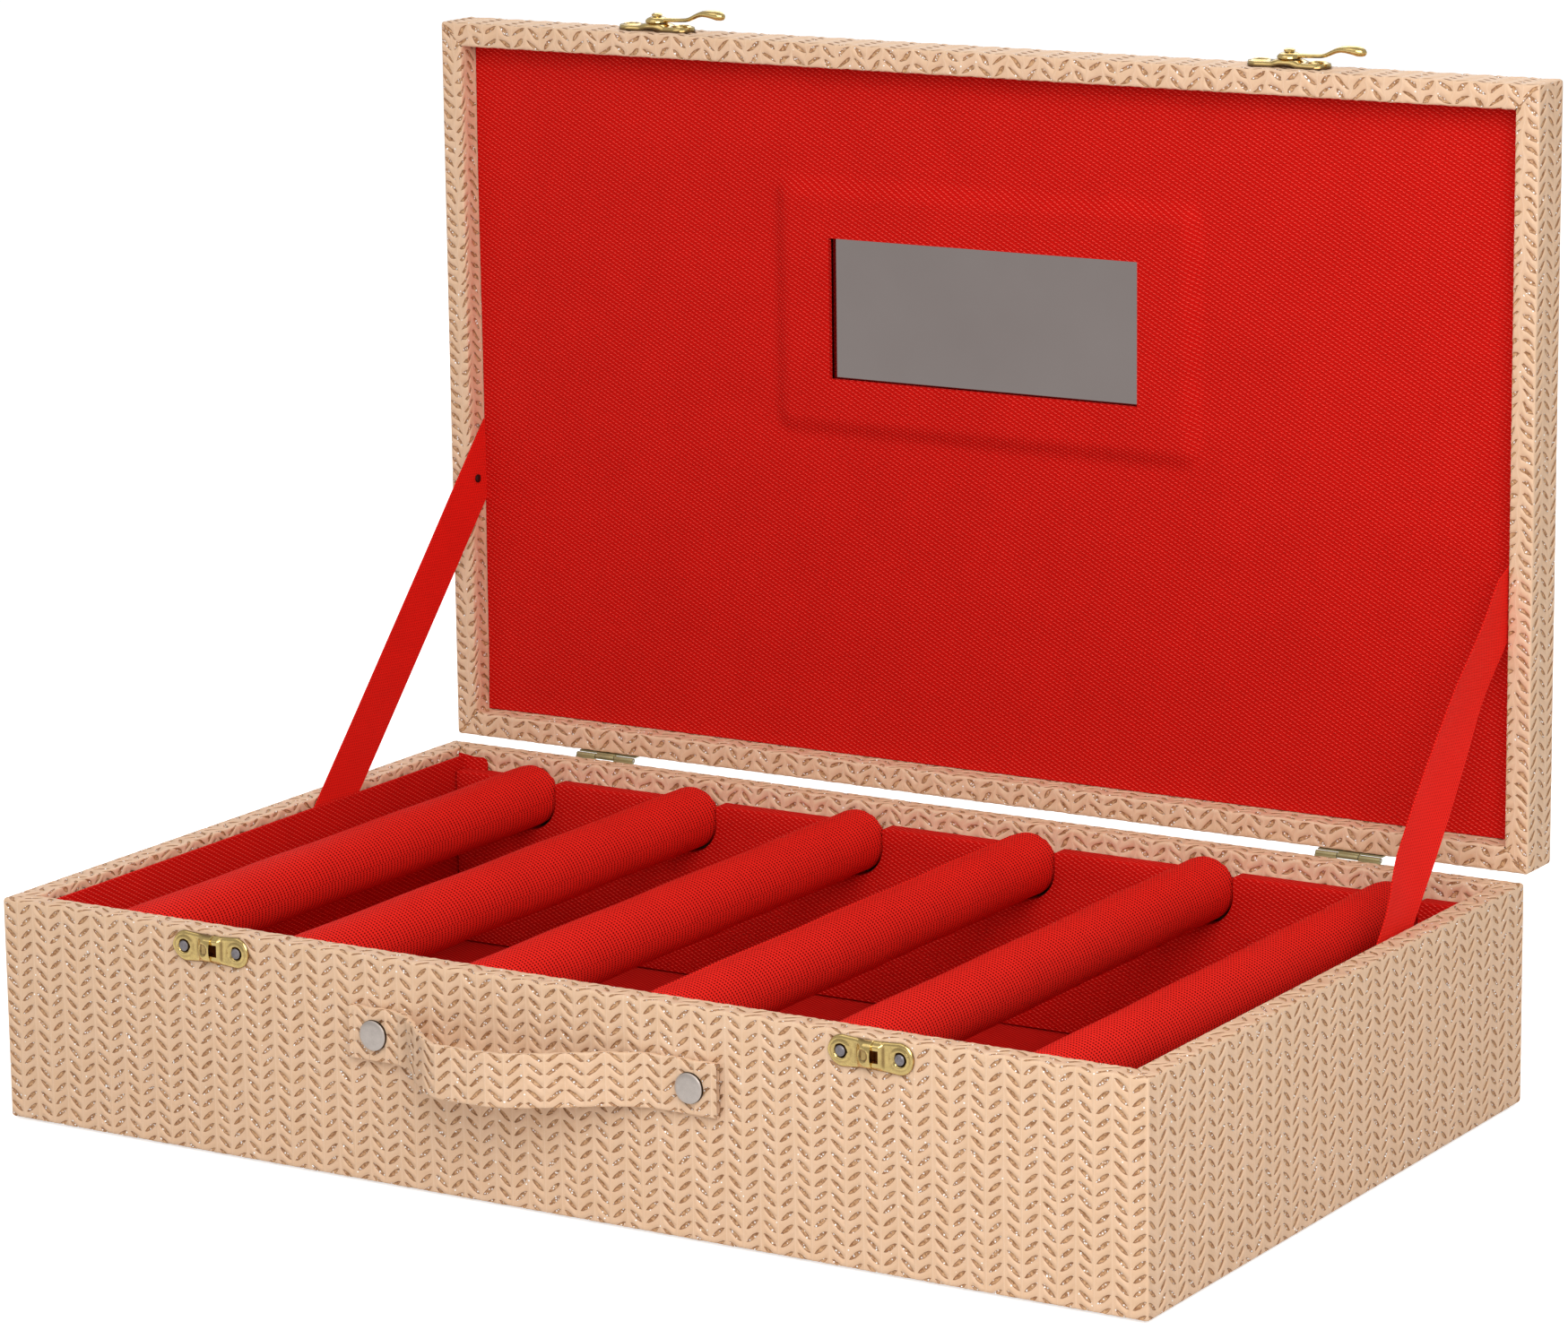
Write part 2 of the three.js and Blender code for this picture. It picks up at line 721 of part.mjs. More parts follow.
function hooks() {
  const top = -halfDepth - glueGap - plateThickness - bossHeight - runGap / 2;
  return latchPlaces.map((x, index) => {
    const hook = piece(`swing_hook_${sideNames[index]}`, hookBody(), 'brass');
    hook.position.set(x, top, studHeight);
    return hook;
  });
}

// Hinges: a tray leaf with the outer barrels, a lid leaf with the middle one, and a pin

// One leaf with its barrels. up is 1 for the lid's leaf and -1 for the tray's.
function hingeLeaf(x, up, barrels) {
  const face = halfDepth + glueGap;
  const near = hingeZ + up * hingeLeafDrop;
  const far = near + up * hingeLeafHeight;
  const webEnd = near - up * hingeWeb;
  const low = Math.min(near, far);
  const high = Math.max(near, far);
  const parts = [block([x - hingeLength / 2, face, low], [x + hingeLength / 2, face + hingeLeafThickness, high])];
  const pitch = hingeLength / hingeBarrelCount;
  for (const index of barrels) {
    const from = x - hingeLength / 2 + index * pitch + (index > 0 ? runGap / 2 : 0);
    const to = x - hingeLength / 2 + (index + 1) * pitch - (index < hingeBarrelCount - 1 ? runGap / 2 : 0);
    parts.push(barAlongX(hingeBarrelRadius, hingeY, hingeZ, from, to, roundSegments));
    parts.push(block([from, face, Math.min(near, webEnd)], [to, hingeY, Math.max(near, webEnd)]));
  }
  const bore = barAlongX(hingePinRadius + runGap, hingeY, hingeZ, x - hingeLength, x + hingeLength);
  return cut(join(...parts), [bore]);
}

function trayLeaves() {
  return hingePlaces.map((x, index) =>
    piece(`hinge_tray_leaf_${sideNames[index]}`, hingeLeaf(x, -1, [0, hingeBarrelCount - 1]), 'brass'));
}

function lidLeaves() {
  return hingePlaces.map((x, index) =>
    piece(`hinge_lid_leaf_${sideNames[index]}`, hingeLeaf(x, 1, [1]), 'brass'));
}

function hingePins() {
  return hingePlaces.map((x, index) => {
    const pin = barAlongX(hingePinRadius, hingeY, hingeZ, x - hingeLength / 2, x + hingeLength / 2);
    return piece(`hinge_pin_${sideNames[index]}`, pin, 'steel');
  });
}

// Lid, drawn shut over the tray: boards, covering, panel and mirror

function lidBoards() {
  const outerX = halfWidth - skin;
  const outerY = halfDepth - skin;
  const innerX = outerX - boardThickness;
  const innerY = outerY - boardThickness;
  const foot = rimHeight + skin;
  const head = lidBoardFoot - glueGap;
  const top = block([-outerX, -outerY, lidBoardFoot], [outerX, outerY, lidBoardTop]);
  const frontHoles = nailHoles(nailShankRadius, allPlateNails, studHeight, -outerY - overrun, -innerY + overrun);
  const front = cut(block([-outerX, -outerY, foot], [outerX, -innerY, head]), frontHoles);
  const back = block([-outerX, innerY, foot], [outerX, outerY, head]);
  const sides = [-1, 1].map((side) => {
    const edges = [side * outerX, side * innerX].sort((a, b) => a - b);
    const reach = innerY - glueGap;
    const hole = barAlongX(ribbonNailShankRadius + runGap, ribbonNailClosedY(), ribbonNailClosedZ(),
      edges[0] - overrun, edges[1] + overrun);
    return cut(block([edges[0], -reach, foot], [edges[1], reach, head]), [hole]);
  });
  return [
    piece('lid_top_board', top, 'board'),
    piece('lid_front_board', front, 'board'),
    piece('lid_back_board', back, 'board'),
    ...sides.map((side, index) => piece(`lid_${sideNames[index]}_board`, side, 'board')),
  ];
}

function lidCover() {
  const inner = wall - coverThickness;
  const turn = lidBoardFoot - glueGap;
  const outerTop = [];
  for (let step = 0; step <= cornerSteps; step += 1) {
    const angle = step / cornerSteps * Math.PI / 2;
    const inset = edgeRadius * (1 - Math.sin(angle));
    outerTop.push(insetRing(inset, lidTop - edgeRadius * (1 - Math.cos(angle)), edgeRadius));
  }
  const stations = [
    ...outerTop,
    ...rimStations(rimHeight, -1),
    insetRing(wall, turn, creaseRadius),
    insetRing(inner, turn, creaseRadius),
    insetRing(inner, rimHeight + coverThickness, creaseRadius),
    insetRing(coverThickness, rimHeight + coverThickness, creaseRadius),
    insetRing(coverThickness, lidTop - coverThickness, creaseRadius),
  ];
  const front = -halfDepth - overrun;
  const behind = -halfDepth + skin + overrun;
  const holes = nailHoles(nailShankRadius, allPlateNails, studHeight, front, behind);
  const ribbonHoles = [-1, 1].map((side) => {
    const ends = [side * (innerHalfWidth - overrun), side * (innerHalfWidth + skin + overrun)];
    ends.sort((a, b) => a - b);
    return barAlongX(ribbonNailShankRadius + runGap, ribbonNailClosedY(), ribbonNailClosedZ(), ...ends);
  });
  return piece('lid_cover', cut(bodyOfRings(stations.reverse(), true), [...holes, ...ribbonHoles]), 'leatherette');
}

// A ring about the mirror's centre
function mirrorRing(halfX, halfY, z) {
  const [x, y] = mirrorPlace;
  return { x0: x - halfX, x1: x + halfX, y0: y - halfY, y1: y + halfY, z, radius: creaseRadius };
}

// The panel is a thin card that rises over the mirror and has a window in front of it
function lidPanel() {
  const face = panelBack - panelThickness;
  const edge = { radius: creaseRadius };
  edge.x1 = innerHalfWidth - panelEdgeGap;
  edge.y1 = innerHalfDepth - panelEdgeGap;
  edge.x0 = -edge.x1;
  edge.y0 = -edge.y1;
  const plateau = [mirrorWidth / 2 + fieldMargin, mirrorHeight / 2 + fieldMargin];
  const foot = plateau.map((half) => half + fieldSlope);
  const stations = [
    mirrorRing(windowWidth / 2, windowHeight / 2, panelBack - panelRise),
    mirrorRing(...plateau, panelBack - panelRise),
    mirrorRing(...foot, panelBack),
    { ...edge, z: panelBack },
    { ...edge, z: face },
    mirrorRing(...foot, face),
    mirrorRing(...plateau, face - panelRise),
    mirrorRing(windowWidth / 2, windowHeight / 2, face - panelRise),
  ];
  return piece('lid_panel', bodyOfRings(stations.reverse(), false), 'redCard');
}

function mirrorGlass() {
  const [x, y] = mirrorPlace;
  const glass = block([x - mirrorWidth / 2, y - mirrorHeight / 2, panelBack - mirrorThickness],
    [x + mirrorWidth / 2, y + mirrorHeight / 2, panelBack]);
  return piece('mirror_glass', glass, 'mirror');
}

// Stay ribbons, drawn taut between the tray's side and the open lid's side

function ribbonNailClosedY() {
  return hingeY - ribbonNailFromHinge;
}

function ribbonNailClosedZ() {
  return rimHeight + ribbonNailFromRim;
}

// A point of the shut lid, in Y and Z, where it comes when the lid stands open
function opened(y, z) {
  const angle = THREE.MathUtils.degToRad(lidOpenDegrees);
  const point = new THREE.Vector2(y - hingeY, z - hingeZ);
  point.rotateAround(new THREE.Vector2(0, 0), -angle);
  return point.add(new THREE.Vector2(hingeY, hingeZ));
}

// The ribbon's outline in Y and Z: it ends just short of the lid's top board
function ribbonOutline() {
  const foot = new THREE.Vector2(ribbonFootBack, ribbonFootHeight);
  const nailPlace = opened(ribbonNailClosedY(), ribbonNailClosedZ());
  const along = nailPlace.clone().sub(foot).normalize();
  const across = new THREE.Vector2(-along.y, along.x).multiplyScalar(ribbonWidth / 2);
  const stop = opened(ribbonNailClosedY(), panelBack);
  const boardLine = opened(ribbonNailClosedY() - ribbonWidth, panelBack).sub(stop).normalize();
  const normal = new THREE.Vector2(boardLine.y, -boardLine.x);
  const ends = [1, -1].map((side) => {
    const start = foot.clone().addScaledVector(across, side);
    const reach = stop.clone().sub(start).dot(normal) / along.dot(normal);
    return [start, start.clone().addScaledVector(along, reach)];
  });
  const outline = new THREE.Shape([ends[1][0], ends[1][1], ends[0][1], ends[0][0]]);
  const hole = new THREE.Path();
  hole.absarc(nailPlace.x, nailPlace.y, ribbonNailShankRadius + runGap, 0, 2 * Math.PI, false);
  outline.holes.push(hole);
  return outline;
}

function ribbons() {
  const turn = new THREE.Matrix4().makeBasis(
    new THREE.Vector3(0, 1, 0),
    new THREE.Vector3(0, 0, 1),
    new THREE.Vector3(1, 0, 0),
  );
  const options = { depth: ribbonThickness, bevelEnabled: false, curveSegments: smallSegments };
  return [-1, 1].map((side, index) => {
    const tape = new THREE.ExtrudeGeometry(ribbonOutline(), options).applyMatrix4(turn);
    const near = innerHalfWidth - glueGap;
    tape.translate(side > 0 ? near - ribbonThickness : -near, 0, 0);
    return piece(`stay_ribbon_${sideNames[index]}`, tape, 'ribbon');
  });
}

function ribbonNails() {
  const seat = innerHalfWidth - 2 * glueGap - ribbonThickness;
  return [-1, 1].map((side, index) => {
    const body = nail(ribbonNailHeadRadius, nailHeadHeight, ribbonNailShankRadius, ribbonNailLength);
    body.rotateZ(side * Math.PI / 2).translate(side * seat, ribbonNailClosedY(), ribbonNailClosedZ());
    return piece(`ribbon_nail_${sideNames[index]}`, body, 'darkNail');
  });
}

// Assembly: the tray stands still, and the lid group turns about the hinge pins

function openLid() {
  const shut = new THREE.Group();
  shut.position.set(0, -hingeY, -hingeZ);
  shut.add(...lidBoards(), lidCover(), lidPanel(), mirrorGlass(), ...lidLeaves());
  shut.add(...latchPlates(), ...plateNails('latch', studHeight), ...hooks(), ...ribbonNails());
  const turned = new THREE.Group();
  turned.position.set(0, hingeY, hingeZ);
  turned.rotation.x = -THREE.MathUtils.degToRad(lidOpenDegrees);
  turned.add(shut);
  return turned;
}

const group = new THREE.Group();
group.add(...trayBoards(), trayCover(), undersideSheet(), floorLining(), ...sideLinings(), ...inserts());
group.add(...rods(), carryingStrap(), ...rivets(), ...catches(), ...plateNails('catch', catchHeight));
group.add(...trayLeaves(), ...hingePins(), ...ribbons(), openLid());

export default group;
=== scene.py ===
import math
import bmesh
import bpy
import numpy as np
from mathutils import Matrix, Vector


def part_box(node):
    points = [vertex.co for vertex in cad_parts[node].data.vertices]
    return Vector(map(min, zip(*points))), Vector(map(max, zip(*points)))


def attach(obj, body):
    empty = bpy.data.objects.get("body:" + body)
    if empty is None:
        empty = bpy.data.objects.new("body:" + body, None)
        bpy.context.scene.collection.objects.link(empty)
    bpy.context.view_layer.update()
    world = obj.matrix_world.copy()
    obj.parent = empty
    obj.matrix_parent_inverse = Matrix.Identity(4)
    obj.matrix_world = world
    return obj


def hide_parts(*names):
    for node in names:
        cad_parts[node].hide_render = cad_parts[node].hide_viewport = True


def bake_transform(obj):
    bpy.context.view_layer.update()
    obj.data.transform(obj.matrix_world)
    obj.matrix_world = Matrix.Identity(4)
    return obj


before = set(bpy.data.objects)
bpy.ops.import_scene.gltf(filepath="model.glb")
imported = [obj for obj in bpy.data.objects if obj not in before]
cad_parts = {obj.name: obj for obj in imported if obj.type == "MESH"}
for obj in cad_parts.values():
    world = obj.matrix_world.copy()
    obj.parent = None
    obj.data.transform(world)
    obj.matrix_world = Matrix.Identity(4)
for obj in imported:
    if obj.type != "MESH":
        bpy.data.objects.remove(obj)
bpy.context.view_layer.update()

# Camera. It stands off the box's front right corner, a little above the open lid's middle,
# with a long lens, and leans by about 0.7 degrees.
turn, rise, lean = (math.radians(angle) for angle in (31.8455, 12.4425, -0.6855))
back = Vector((math.sin(turn) * math.cos(rise), -math.cos(turn) * math.cos(rise), math.sin(rise)))
right = Vector((math.cos(turn), math.sin(turn), 0))
up = back.cross(right)
axes = right * math.cos(lean) + up * math.sin(lean), up * math.cos(lean) - right * math.sin(lean), back


def placed(name, data):
    """A new object in the scene."""
    made = bpy.data.objects.new(name, data)
    bpy.context.scene.collection.objects.link(made)
    return made


camera = placed("camera", bpy.data.cameras.new("camera"))
camera.data.sensor_fit = "HORIZONTAL"
camera.data.sensor_width = 36
camera.data.lens = 135.9935
aim, away = Vector((0.0091265, 0, 0.14989)), 1.891677
camera.matrix_world = Matrix.Translation(aim + back * away) @ Matrix(axes).transposed().to_4x4()
bpy.context.scene.camera = camera


# Studio. A plain white floor, an even white surround, a near lamp at the front right and
# farther, weaker ones at the left and behind.
def linear(code):
    """Six hex digits of a colour as Blender's own linear values."""
    parts = [int(code[place : place + 2], 16) / 255 for place in (0, 2, 4)]
    return [part / 12.92 if part < 0.04045 else ((part + 0.055) / 1.055) ** 2.4 for part in parts] + [1]


def put(tree, kind, **setup):
    """Adds a node. Lower-case words set its properties, the others its sockets, and i0, i1 ... its sockets by place."""
    made = tree.nodes.new(kind)
    by_place = {word: word[1:].isdigit() for word in setup}
    for word, value in setup.items():
        if word[0].islower() and not by_place[word]:
            setattr(made, word, value)
    for word, value in setup.items():
        if by_place[word] or word[0].isupper():
            socket = made.inputs[int(word[1:]) if by_place[word] else word.replace("_", " ")]
            if isinstance(value, bpy.types.NodeSocket):
                tree.links.new(value, socket)
            else:
                socket.default_value = value
    return made


def sum_of(tree, operation, *values):
    """The result of a Math node."""
    setup = {f"i{place}": value for place, value in enumerate(values)}
    return put(tree, "ShaderNodeMath", operation=operation, **setup).outputs[0]


def ranged(tree, value, **setup):
    """The result of a Map Range node."""
    return put(tree, "ShaderNodeMapRange", i0=value, **setup).outputs[0]


def seen_rays(tree):
    """1 for rays from the camera and through glass."""
    path = put(tree, "ShaderNodeLightPath").outputs
    return sum_of(tree, "MAXIMUM", path["Is Camera Ray"], path["Is Transmission Ray"])


world = bpy.data.worlds.new("surround")
bpy.context.scene.world = world
world.use_nodes = True
tree = world.node_tree
tree.nodes.clear()
lighting_level, seen_level, mirrored_level = 0.45, 1.0, 0.55
mirrored = put(tree, "ShaderNodeLightPath").outputs["Is Glossy Ray"]
level = sum_of(tree, "MAXIMUM", ranged(tree, seen_rays(tree), i3=lighting_level, i4=seen_level),
               sum_of(tree, "MULTIPLY", mirrored, mirrored_level))
light = put(tree, "ShaderNodeBackground", Color=linear("ffffff"), Strength=level)
put(tree, "ShaderNodeOutputWorld", Surface=light.outputs[0])

box_middle = Vector((0, 0, 0.12))
for name, side, height, away, size, power in (
    ("main lamp", 39, 38, 1.35, 0.9, 11.9),
    ("side lamp", -30, 55, 2.2, 1.4, 5),
    ("back lamp", 200, 42, 2.2, 1.4, 13),
):
    lamp = placed(name, bpy.data.lights.new(name, "AREA"))
    lamp.data.size = size
    lamp.data.energy = power
    a, e = math.radians(side), math.radians(height)
    lamp.location = Vector((math.sin(a) * math.cos(e), -math.cos(a) * math.cos(e), math.sin(e))) * away
    lamp.rotation_euler = (box_middle - lamp.location).to_track_quat("-Z", "Y").to_euler()


def drawn(name, corners, faces=()):
    """A new mesh from its corners and faces."""
    mesh = bpy.data.meshes.new(name)
    mesh.from_pydata(corners, [], faces)
    return mesh


floor = placed("floor", drawn("floor", [(-9, -9, 0), (9, -9, 0), (9, 9, 0), (-9, 9, 0)], [(0, 1, 2, 3)]))
paper = bpy.data.materials.new("white paper")
paper.use_nodes = True
tree = paper.node_tree
tree.nodes.clear()
floor_lift, floor_mirrored = 0.7, 0.95
matt = put(tree, "ShaderNodeBsdfDiffuse", Color=linear("e4e3e2"))
lift = sum_of(tree, "MULTIPLY", seen_rays(tree), floor_lift)
glow = put(tree, "ShaderNodeEmission", Color=linear("ffffff"), Strength=lift)
both = put(tree, "ShaderNodeAddShader", i0=matt.outputs[0], i1=glow.outputs[0])
even = put(tree, "ShaderNodeEmission", Color=linear("ffffff"), Strength=floor_mirrored)
mirrored = put(tree, "ShaderNodeLightPath").outputs["Is Glossy Ray"]
shown = put(tree, "ShaderNodeMixShader", i0=mirrored, i1=both.outputs[0], i2=even.outputs[0])
put(tree, "ShaderNodeOutputMaterial", Surface=shown.outputs[0])
floor.data.materials.append(paper)
bpy.context.scene.view_settings.view_transform = "Standard"


# Boards of the tray and the lid. Plain brown board, nailed and glued, hidden under the covering
# but for the holes under the rod notches, where its dark brown is painted shade.
def surface(name, colour, rough, **more):
    """A material with one main shader: the material's tree and that shader."""
    material = bpy.data.materials.new(name)
    material.use_nodes = True
    tree = material.node_tree
    tree.nodes.clear()
    shader = put(tree, "ShaderNodeBsdfPrincipled", Base_Color=linear(colour), Roughness=rough, **more)
    put(tree, "ShaderNodeOutputMaterial", Surface=shader.outputs[0])
    return material, tree, shader


def noise(tree, where, scale, detail, **more):
    """The value of a noise texture."""
    return put(tree, "ShaderNodeTexNoise", Vector=where, Scale=scale, Detail=detail, **more).outputs[0]


def group_of(name, inputs, outputs, tree="ShaderNodeTree"):
    """An empty node group with these sockets: the group, its input sockets and its output sockets."""
    group = bpy.data.node_groups.new(name, tree)
    for word, kind, *value in inputs:
        socket = group.interface.new_socket(word, in_out="INPUT", socket_type="NodeSocket" + kind)
        if value:
            socket.default_value = value[0]
    for word, kind in outputs:
        group.interface.new_socket(word, in_out="OUTPUT", socket_type="NodeSocket" + kind)
    return group, put(group, "NodeGroupInput").outputs, put(group, "NodeGroupOutput").inputs


mottle, given, result = group_of(
    "mottle",
    [("Vector", "Vector"), ("Color", "Color", (1, 1, 1, 1)), ("Roughness", "Float", 0.5),
     ("Coarse", "Float", 60), ("Fine", "Float", 900), ("Amount", "Float", 0.1)],
    [("Color", "Color"), ("Roughness", "Float"), ("Height", "Float")],
)
coarse = noise(mottle, given["Vector"], given["Coarse"], 3)
fine = noise(mottle, given["Vector"], given["Fine"], 4)
blend = sum_of(mottle, "SUBTRACT", sum_of(mottle, "ADD", coarse, fine), 1.0)
change = sum_of(mottle, "MULTIPLY", blend, given["Amount"])
shade = sum_of(mottle, "ADD", change, 1.0)
toned = put(mottle, "ShaderNodeVectorMath", operation="SCALE", i0=given["Color"], Scale=shade)
mottle.links.new(toned.outputs[0], result["Color"])
mottle.links.new(sum_of(mottle, "SUBTRACT", given["Roughness"], change), result["Roughness"])
mottle.links.new(fine, result["Height"])


def mottled(tree, shader, colour, rough, coarse, fine, amount, height=0.00003):
    """Gives a shader a slightly uneven colour, roughness and grain."""
    where = put(tree, "ShaderNodeTexCoord").outputs["Object"]
    node = put(tree, "ShaderNodeGroup", node_tree=mottle, Vector=where, Color=colour, Roughness=rough,
               Coarse=coarse, Fine=fine, Amount=amount)
    tree.links.new(node.outputs["Color"], shader.inputs["Base Color"])
    tree.links.new(node.outputs["Roughness"], shader.inputs["Roughness"])
    bump = put(tree, "ShaderNodeBump", Strength=1.0, Distance=height, Height=node.outputs["Height"])
    tree.links.new(bump.outputs[0], shader.inputs["Normal"])
    return bump


def mixed(tree, share, first, second):
    """Two colours, as hex digits or sockets, mixed by a share."""
    first, second = (linear(colour) if isinstance(colour, str) else colour for colour in (first, second))
    return put(tree, "ShaderNodeMix", data_type="RGBA", i0=share, i6=first, i7=second).outputs[2]


def uneven(name, colour, rough, coarse, fine, amount, height=0.00003, dark=None, metal=0.0):
    """A mottled material; with dark, it darkens towards that colour as painted shade where the piece's deep attribute
    says.
    """
    material, tree, shader = surface(name, colour, rough, Metallic=metal)
    deep = put(tree, "ShaderNodeAttribute", attribute_name="deep").outputs["Fac"] if dark else None
    tone = mixed(tree, deep, colour, dark) if dark else linear(colour)
    mottled(tree, shader, tone, rough, coarse, fine, amount, height)
    return material


def coat(material, *nodes):
    """Gives CAD pieces a material."""
    for node in nodes:
        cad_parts[node].data.materials.clear()
        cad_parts[node].data.materials.append(material)


boards = [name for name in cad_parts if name.endswith("_board")]
# The board's brown is kept dark as painted shade for the holes under the rod notches.
coat(uneven("brown board", "5e4632", 0.9, 40, 700, 0.3), *boards)


# Covering of the tray and the lid. Peach leatherette embossed like knitting: pressed brown
# leaves with glitter between puffed strands, glued over the boards and folded at the edges.
leaf_pitch, leaf_row, relief_fade = 0.006, 0.00413, 0.0013


def leaf_pair(column, row, share, wide, lean, wavy=0):
    """A falling and a rising leaf beside each other, pressed into the sheet, as one small open mesh."""
    strand = ((0, -.05), (.22, .03), (.5, .06), (.78, .03), (1, -.05))
    outline = [(x, side / 2, height) for side in (1, -1) for x, height in strand]
    outline += [(0, 0, -.1), (1, 0, -.1), (.5 - share / 2, 0, -.2), (.5 + share / 2, 0, -.2)]
    outline += [(.5 + share * x, side * wide * y, -.2) for side in (1, -1) for x, y in ((-.3, .7), (0, 1), (.3, .7))]
    outline += [(.5 + share * x, wide * y, -.6) for x, y in ((-.38, 0), (0, .72), (.38, 0), (0, -.72))]
    faces = [
        (10, 12, 0), (12, 14, 1, 0), (14, 15, 2, 1), (15, 16, 3, 2), (16, 13, 4, 3), (13, 11, 4),
        (10, 5, 12), (12, 5, 6, 17), (17, 6, 7, 18), (18, 7, 8, 19), (19, 8, 9, 13), (13, 9, 11),
        (12, 20, 14), (12, 17, 20), (20, 21, 15, 14), (21, 22, 16, 15), (22, 13, 16),
        (20, 17, 18, 23), (23, 18, 19, 22), (22, 19, 13), (20, 23, 22, 21),
    ]
    corners, all_faces = [], []
    for place, slope in ((-1, -lean), (0, lean)):
        start = len(corners)
        for x, y, height in outline:
            fall = slope * (x - (0 if slope < 0 else 1) - wavy * math.sin(2 * math.pi * x) / 6.3) * column
            corners.append(((place + x) * column, y * row + fall, height / 1000))
        all_faces += [[start + corner for corner in face] for face in faces]
    return placed("leaf pair", drawn("leaf pair", corners, all_faces))


cloth, given, result = group_of(
    "embossed cloth",
    [("Leaf Pair", "Object"), ("Pairs", "Int"), ("Rows", "Int"), ("Pair Pitch", "Float"), ("Row Pitch", "Float"),
     ("Material", "Material")],
    [("Geometry", "Geometry")], "GeometryNodeTree",
)
wide = sum_of(cloth, "MULTIPLY", sum_of(cloth, "SUBTRACT", given["Pairs"], 1), given["Pair Pitch"])
tall = sum_of(cloth, "MULTIPLY", sum_of(cloth, "SUBTRACT", given["Rows"], 1), given["Row Pitch"])
grid = put(cloth, "GeometryNodeMeshGrid", Size_X=wide, Size_Y=tall, Vertices_X=given["Pairs"],
           Vertices_Y=given["Rows"])
pair = put(cloth, "GeometryNodeObjectInfo", Object=given["Leaf Pair"])
rows = put(cloth, "GeometryNodeInstanceOnPoints", Points=grid.outputs[0], Instance=pair.outputs["Geometry"])
real = put(cloth, "GeometryNodeRealizeInstances", Geometry=rows.outputs[0])
whole = put(cloth, "GeometryNodeMergeByDistance", Geometry=real.outputs[0], Distance=0.00002)
noted = put(cloth, "GeometryNodeStoreNamedAttribute", data_type="FLOAT_VECTOR", domain="POINT",
            Geometry=whole.outputs[0], Name="lay", Value=put(cloth, "GeometryNodeInputPosition").outputs[0])
dressed = put(cloth, "GeometryNodeSetMaterial", Geometry=noted.outputs[0], Material=given["Material"])
cloth.links.new(dressed.outputs[0], result["Geometry"])


def grown(group, values, places=()):
    """What a Geometry Nodes group makes on some places with these values for its inputs, as a plain mesh."""
    holder = placed("places", drawn("places", [tuple(place) for place in places]))
    maker = holder.modifiers.new("maker", "NODES")
    maker.node_group = group
    inlets = [item.identifier for item in group.interface.items_tree
              if item.in_out == "INPUT" and item.socket_type != "NodeSocketGeometry"]
    for inlet, value in zip(inlets, values):
        maker[inlet] = value
    mesh = bpy.data.meshes.new_from_object(holder.evaluated_get(bpy.context.evaluated_depsgraph_get()))
    bpy.data.objects.remove(holder)
    return mesh


def embossed(pair, pairs, rows):
    """A flat sheet of the covering about the origin."""
    return grown(cloth, (pair, pairs, rows, 2 * leaf_pitch, leaf_row, leatherette))


def points_of(mesh, attribute=None):
    """The places of a mesh's points, or what one of its attributes notes at them."""
    source = mesh.attributes[attribute].data if attribute else mesh.vertices
    values = np.zeros(len(mesh.vertices) * 3)
    source.foreach_get("vector" if attribute else "co", values)
    return values.reshape(-1, 3)


def set_points(mesh, values, attribute=None):
    """Moves a mesh's points, or notes values at them."""
    if attribute and attribute not in mesh.attributes:
        mesh.attributes.new(attribute, "FLOAT_VECTOR", "POINT")
    target = mesh.attributes[attribute].data if attribute else mesh.vertices
    target.foreach_set("vector" if attribute else "co", np.ascontiguousarray(values, float).ravel())


def shape_of(mesh):
    """An editable copy of a mesh."""
    shape = bmesh.new()
    shape.from_mesh(mesh)
    return shape


def mesh_of(shape, mesh):
    """Puts an edited shape into a mesh, which may be the name of a new one."""
    mesh = bpy.data.meshes.new(mesh) if isinstance(mesh, str) else mesh
    shape.to_mesh(mesh)
    shape.free()
    return mesh


def cut_sheet(mesh, planes, closed=False):
    """Adds an edge line where each plane (point, direction, trims) meets the sheet, trims what is beyond it and
    closes the cut of a solid."""
    shape = shape_of(mesh)
    for point, direction, trims in planes:
        everything = shape.verts[:] + shape.edges[:] + shape.faces[:]
        bmesh.ops.bisect_plane(shape, geom=everything, dist=1e-7, plane_co=point, plane_no=direction,
                               clear_outer=trims)
        if closed:
            bmesh.ops.holes_fill(shape, edges=[e for e in shape.edges if e.is_boundary])
    mesh_of(shape, mesh)


def smooth_step(value):
    """0 below 0, 1 above 1 and a smooth rise between them."""
    value = np.clip(value, 0, 1)
    return value * value * (3 - 2 * value)


def eased(distance, reach):
    """0 at an edge, rising smoothly to 1 at reach."""
    return smooth_step(np.abs(distance) / reach)


def rounded(points, low, high, edge):
    """Points of a sharp box's skin moved onto the same box with rounded edges."""
    heart = np.clip(points, np.array(low) + edge, np.array(high) - edge)
    out = points - heart
    reach = np.abs(out).max(1)
    length = np.linalg.norm(out, axis=1)
    return heart + out * (reach / np.maximum(length, 1e-9))[:, None]


def finished(mesh, name, body, nodes=(), crease=40):
    """Makes a mesh a piece of the object: smooth, riding on its body if it has one, standing for its CAD nodes."""
    mesh.polygons.foreach_set("use_smooth", [True] * len(mesh.polygons))
    mesh.set_sharp_from_angle(angle=math.radians(crease))
    mesh.name = name
    piece = placed(name, mesh)
    if body:
        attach(piece, body)
    if nodes:
        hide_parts(*nodes)
    return piece


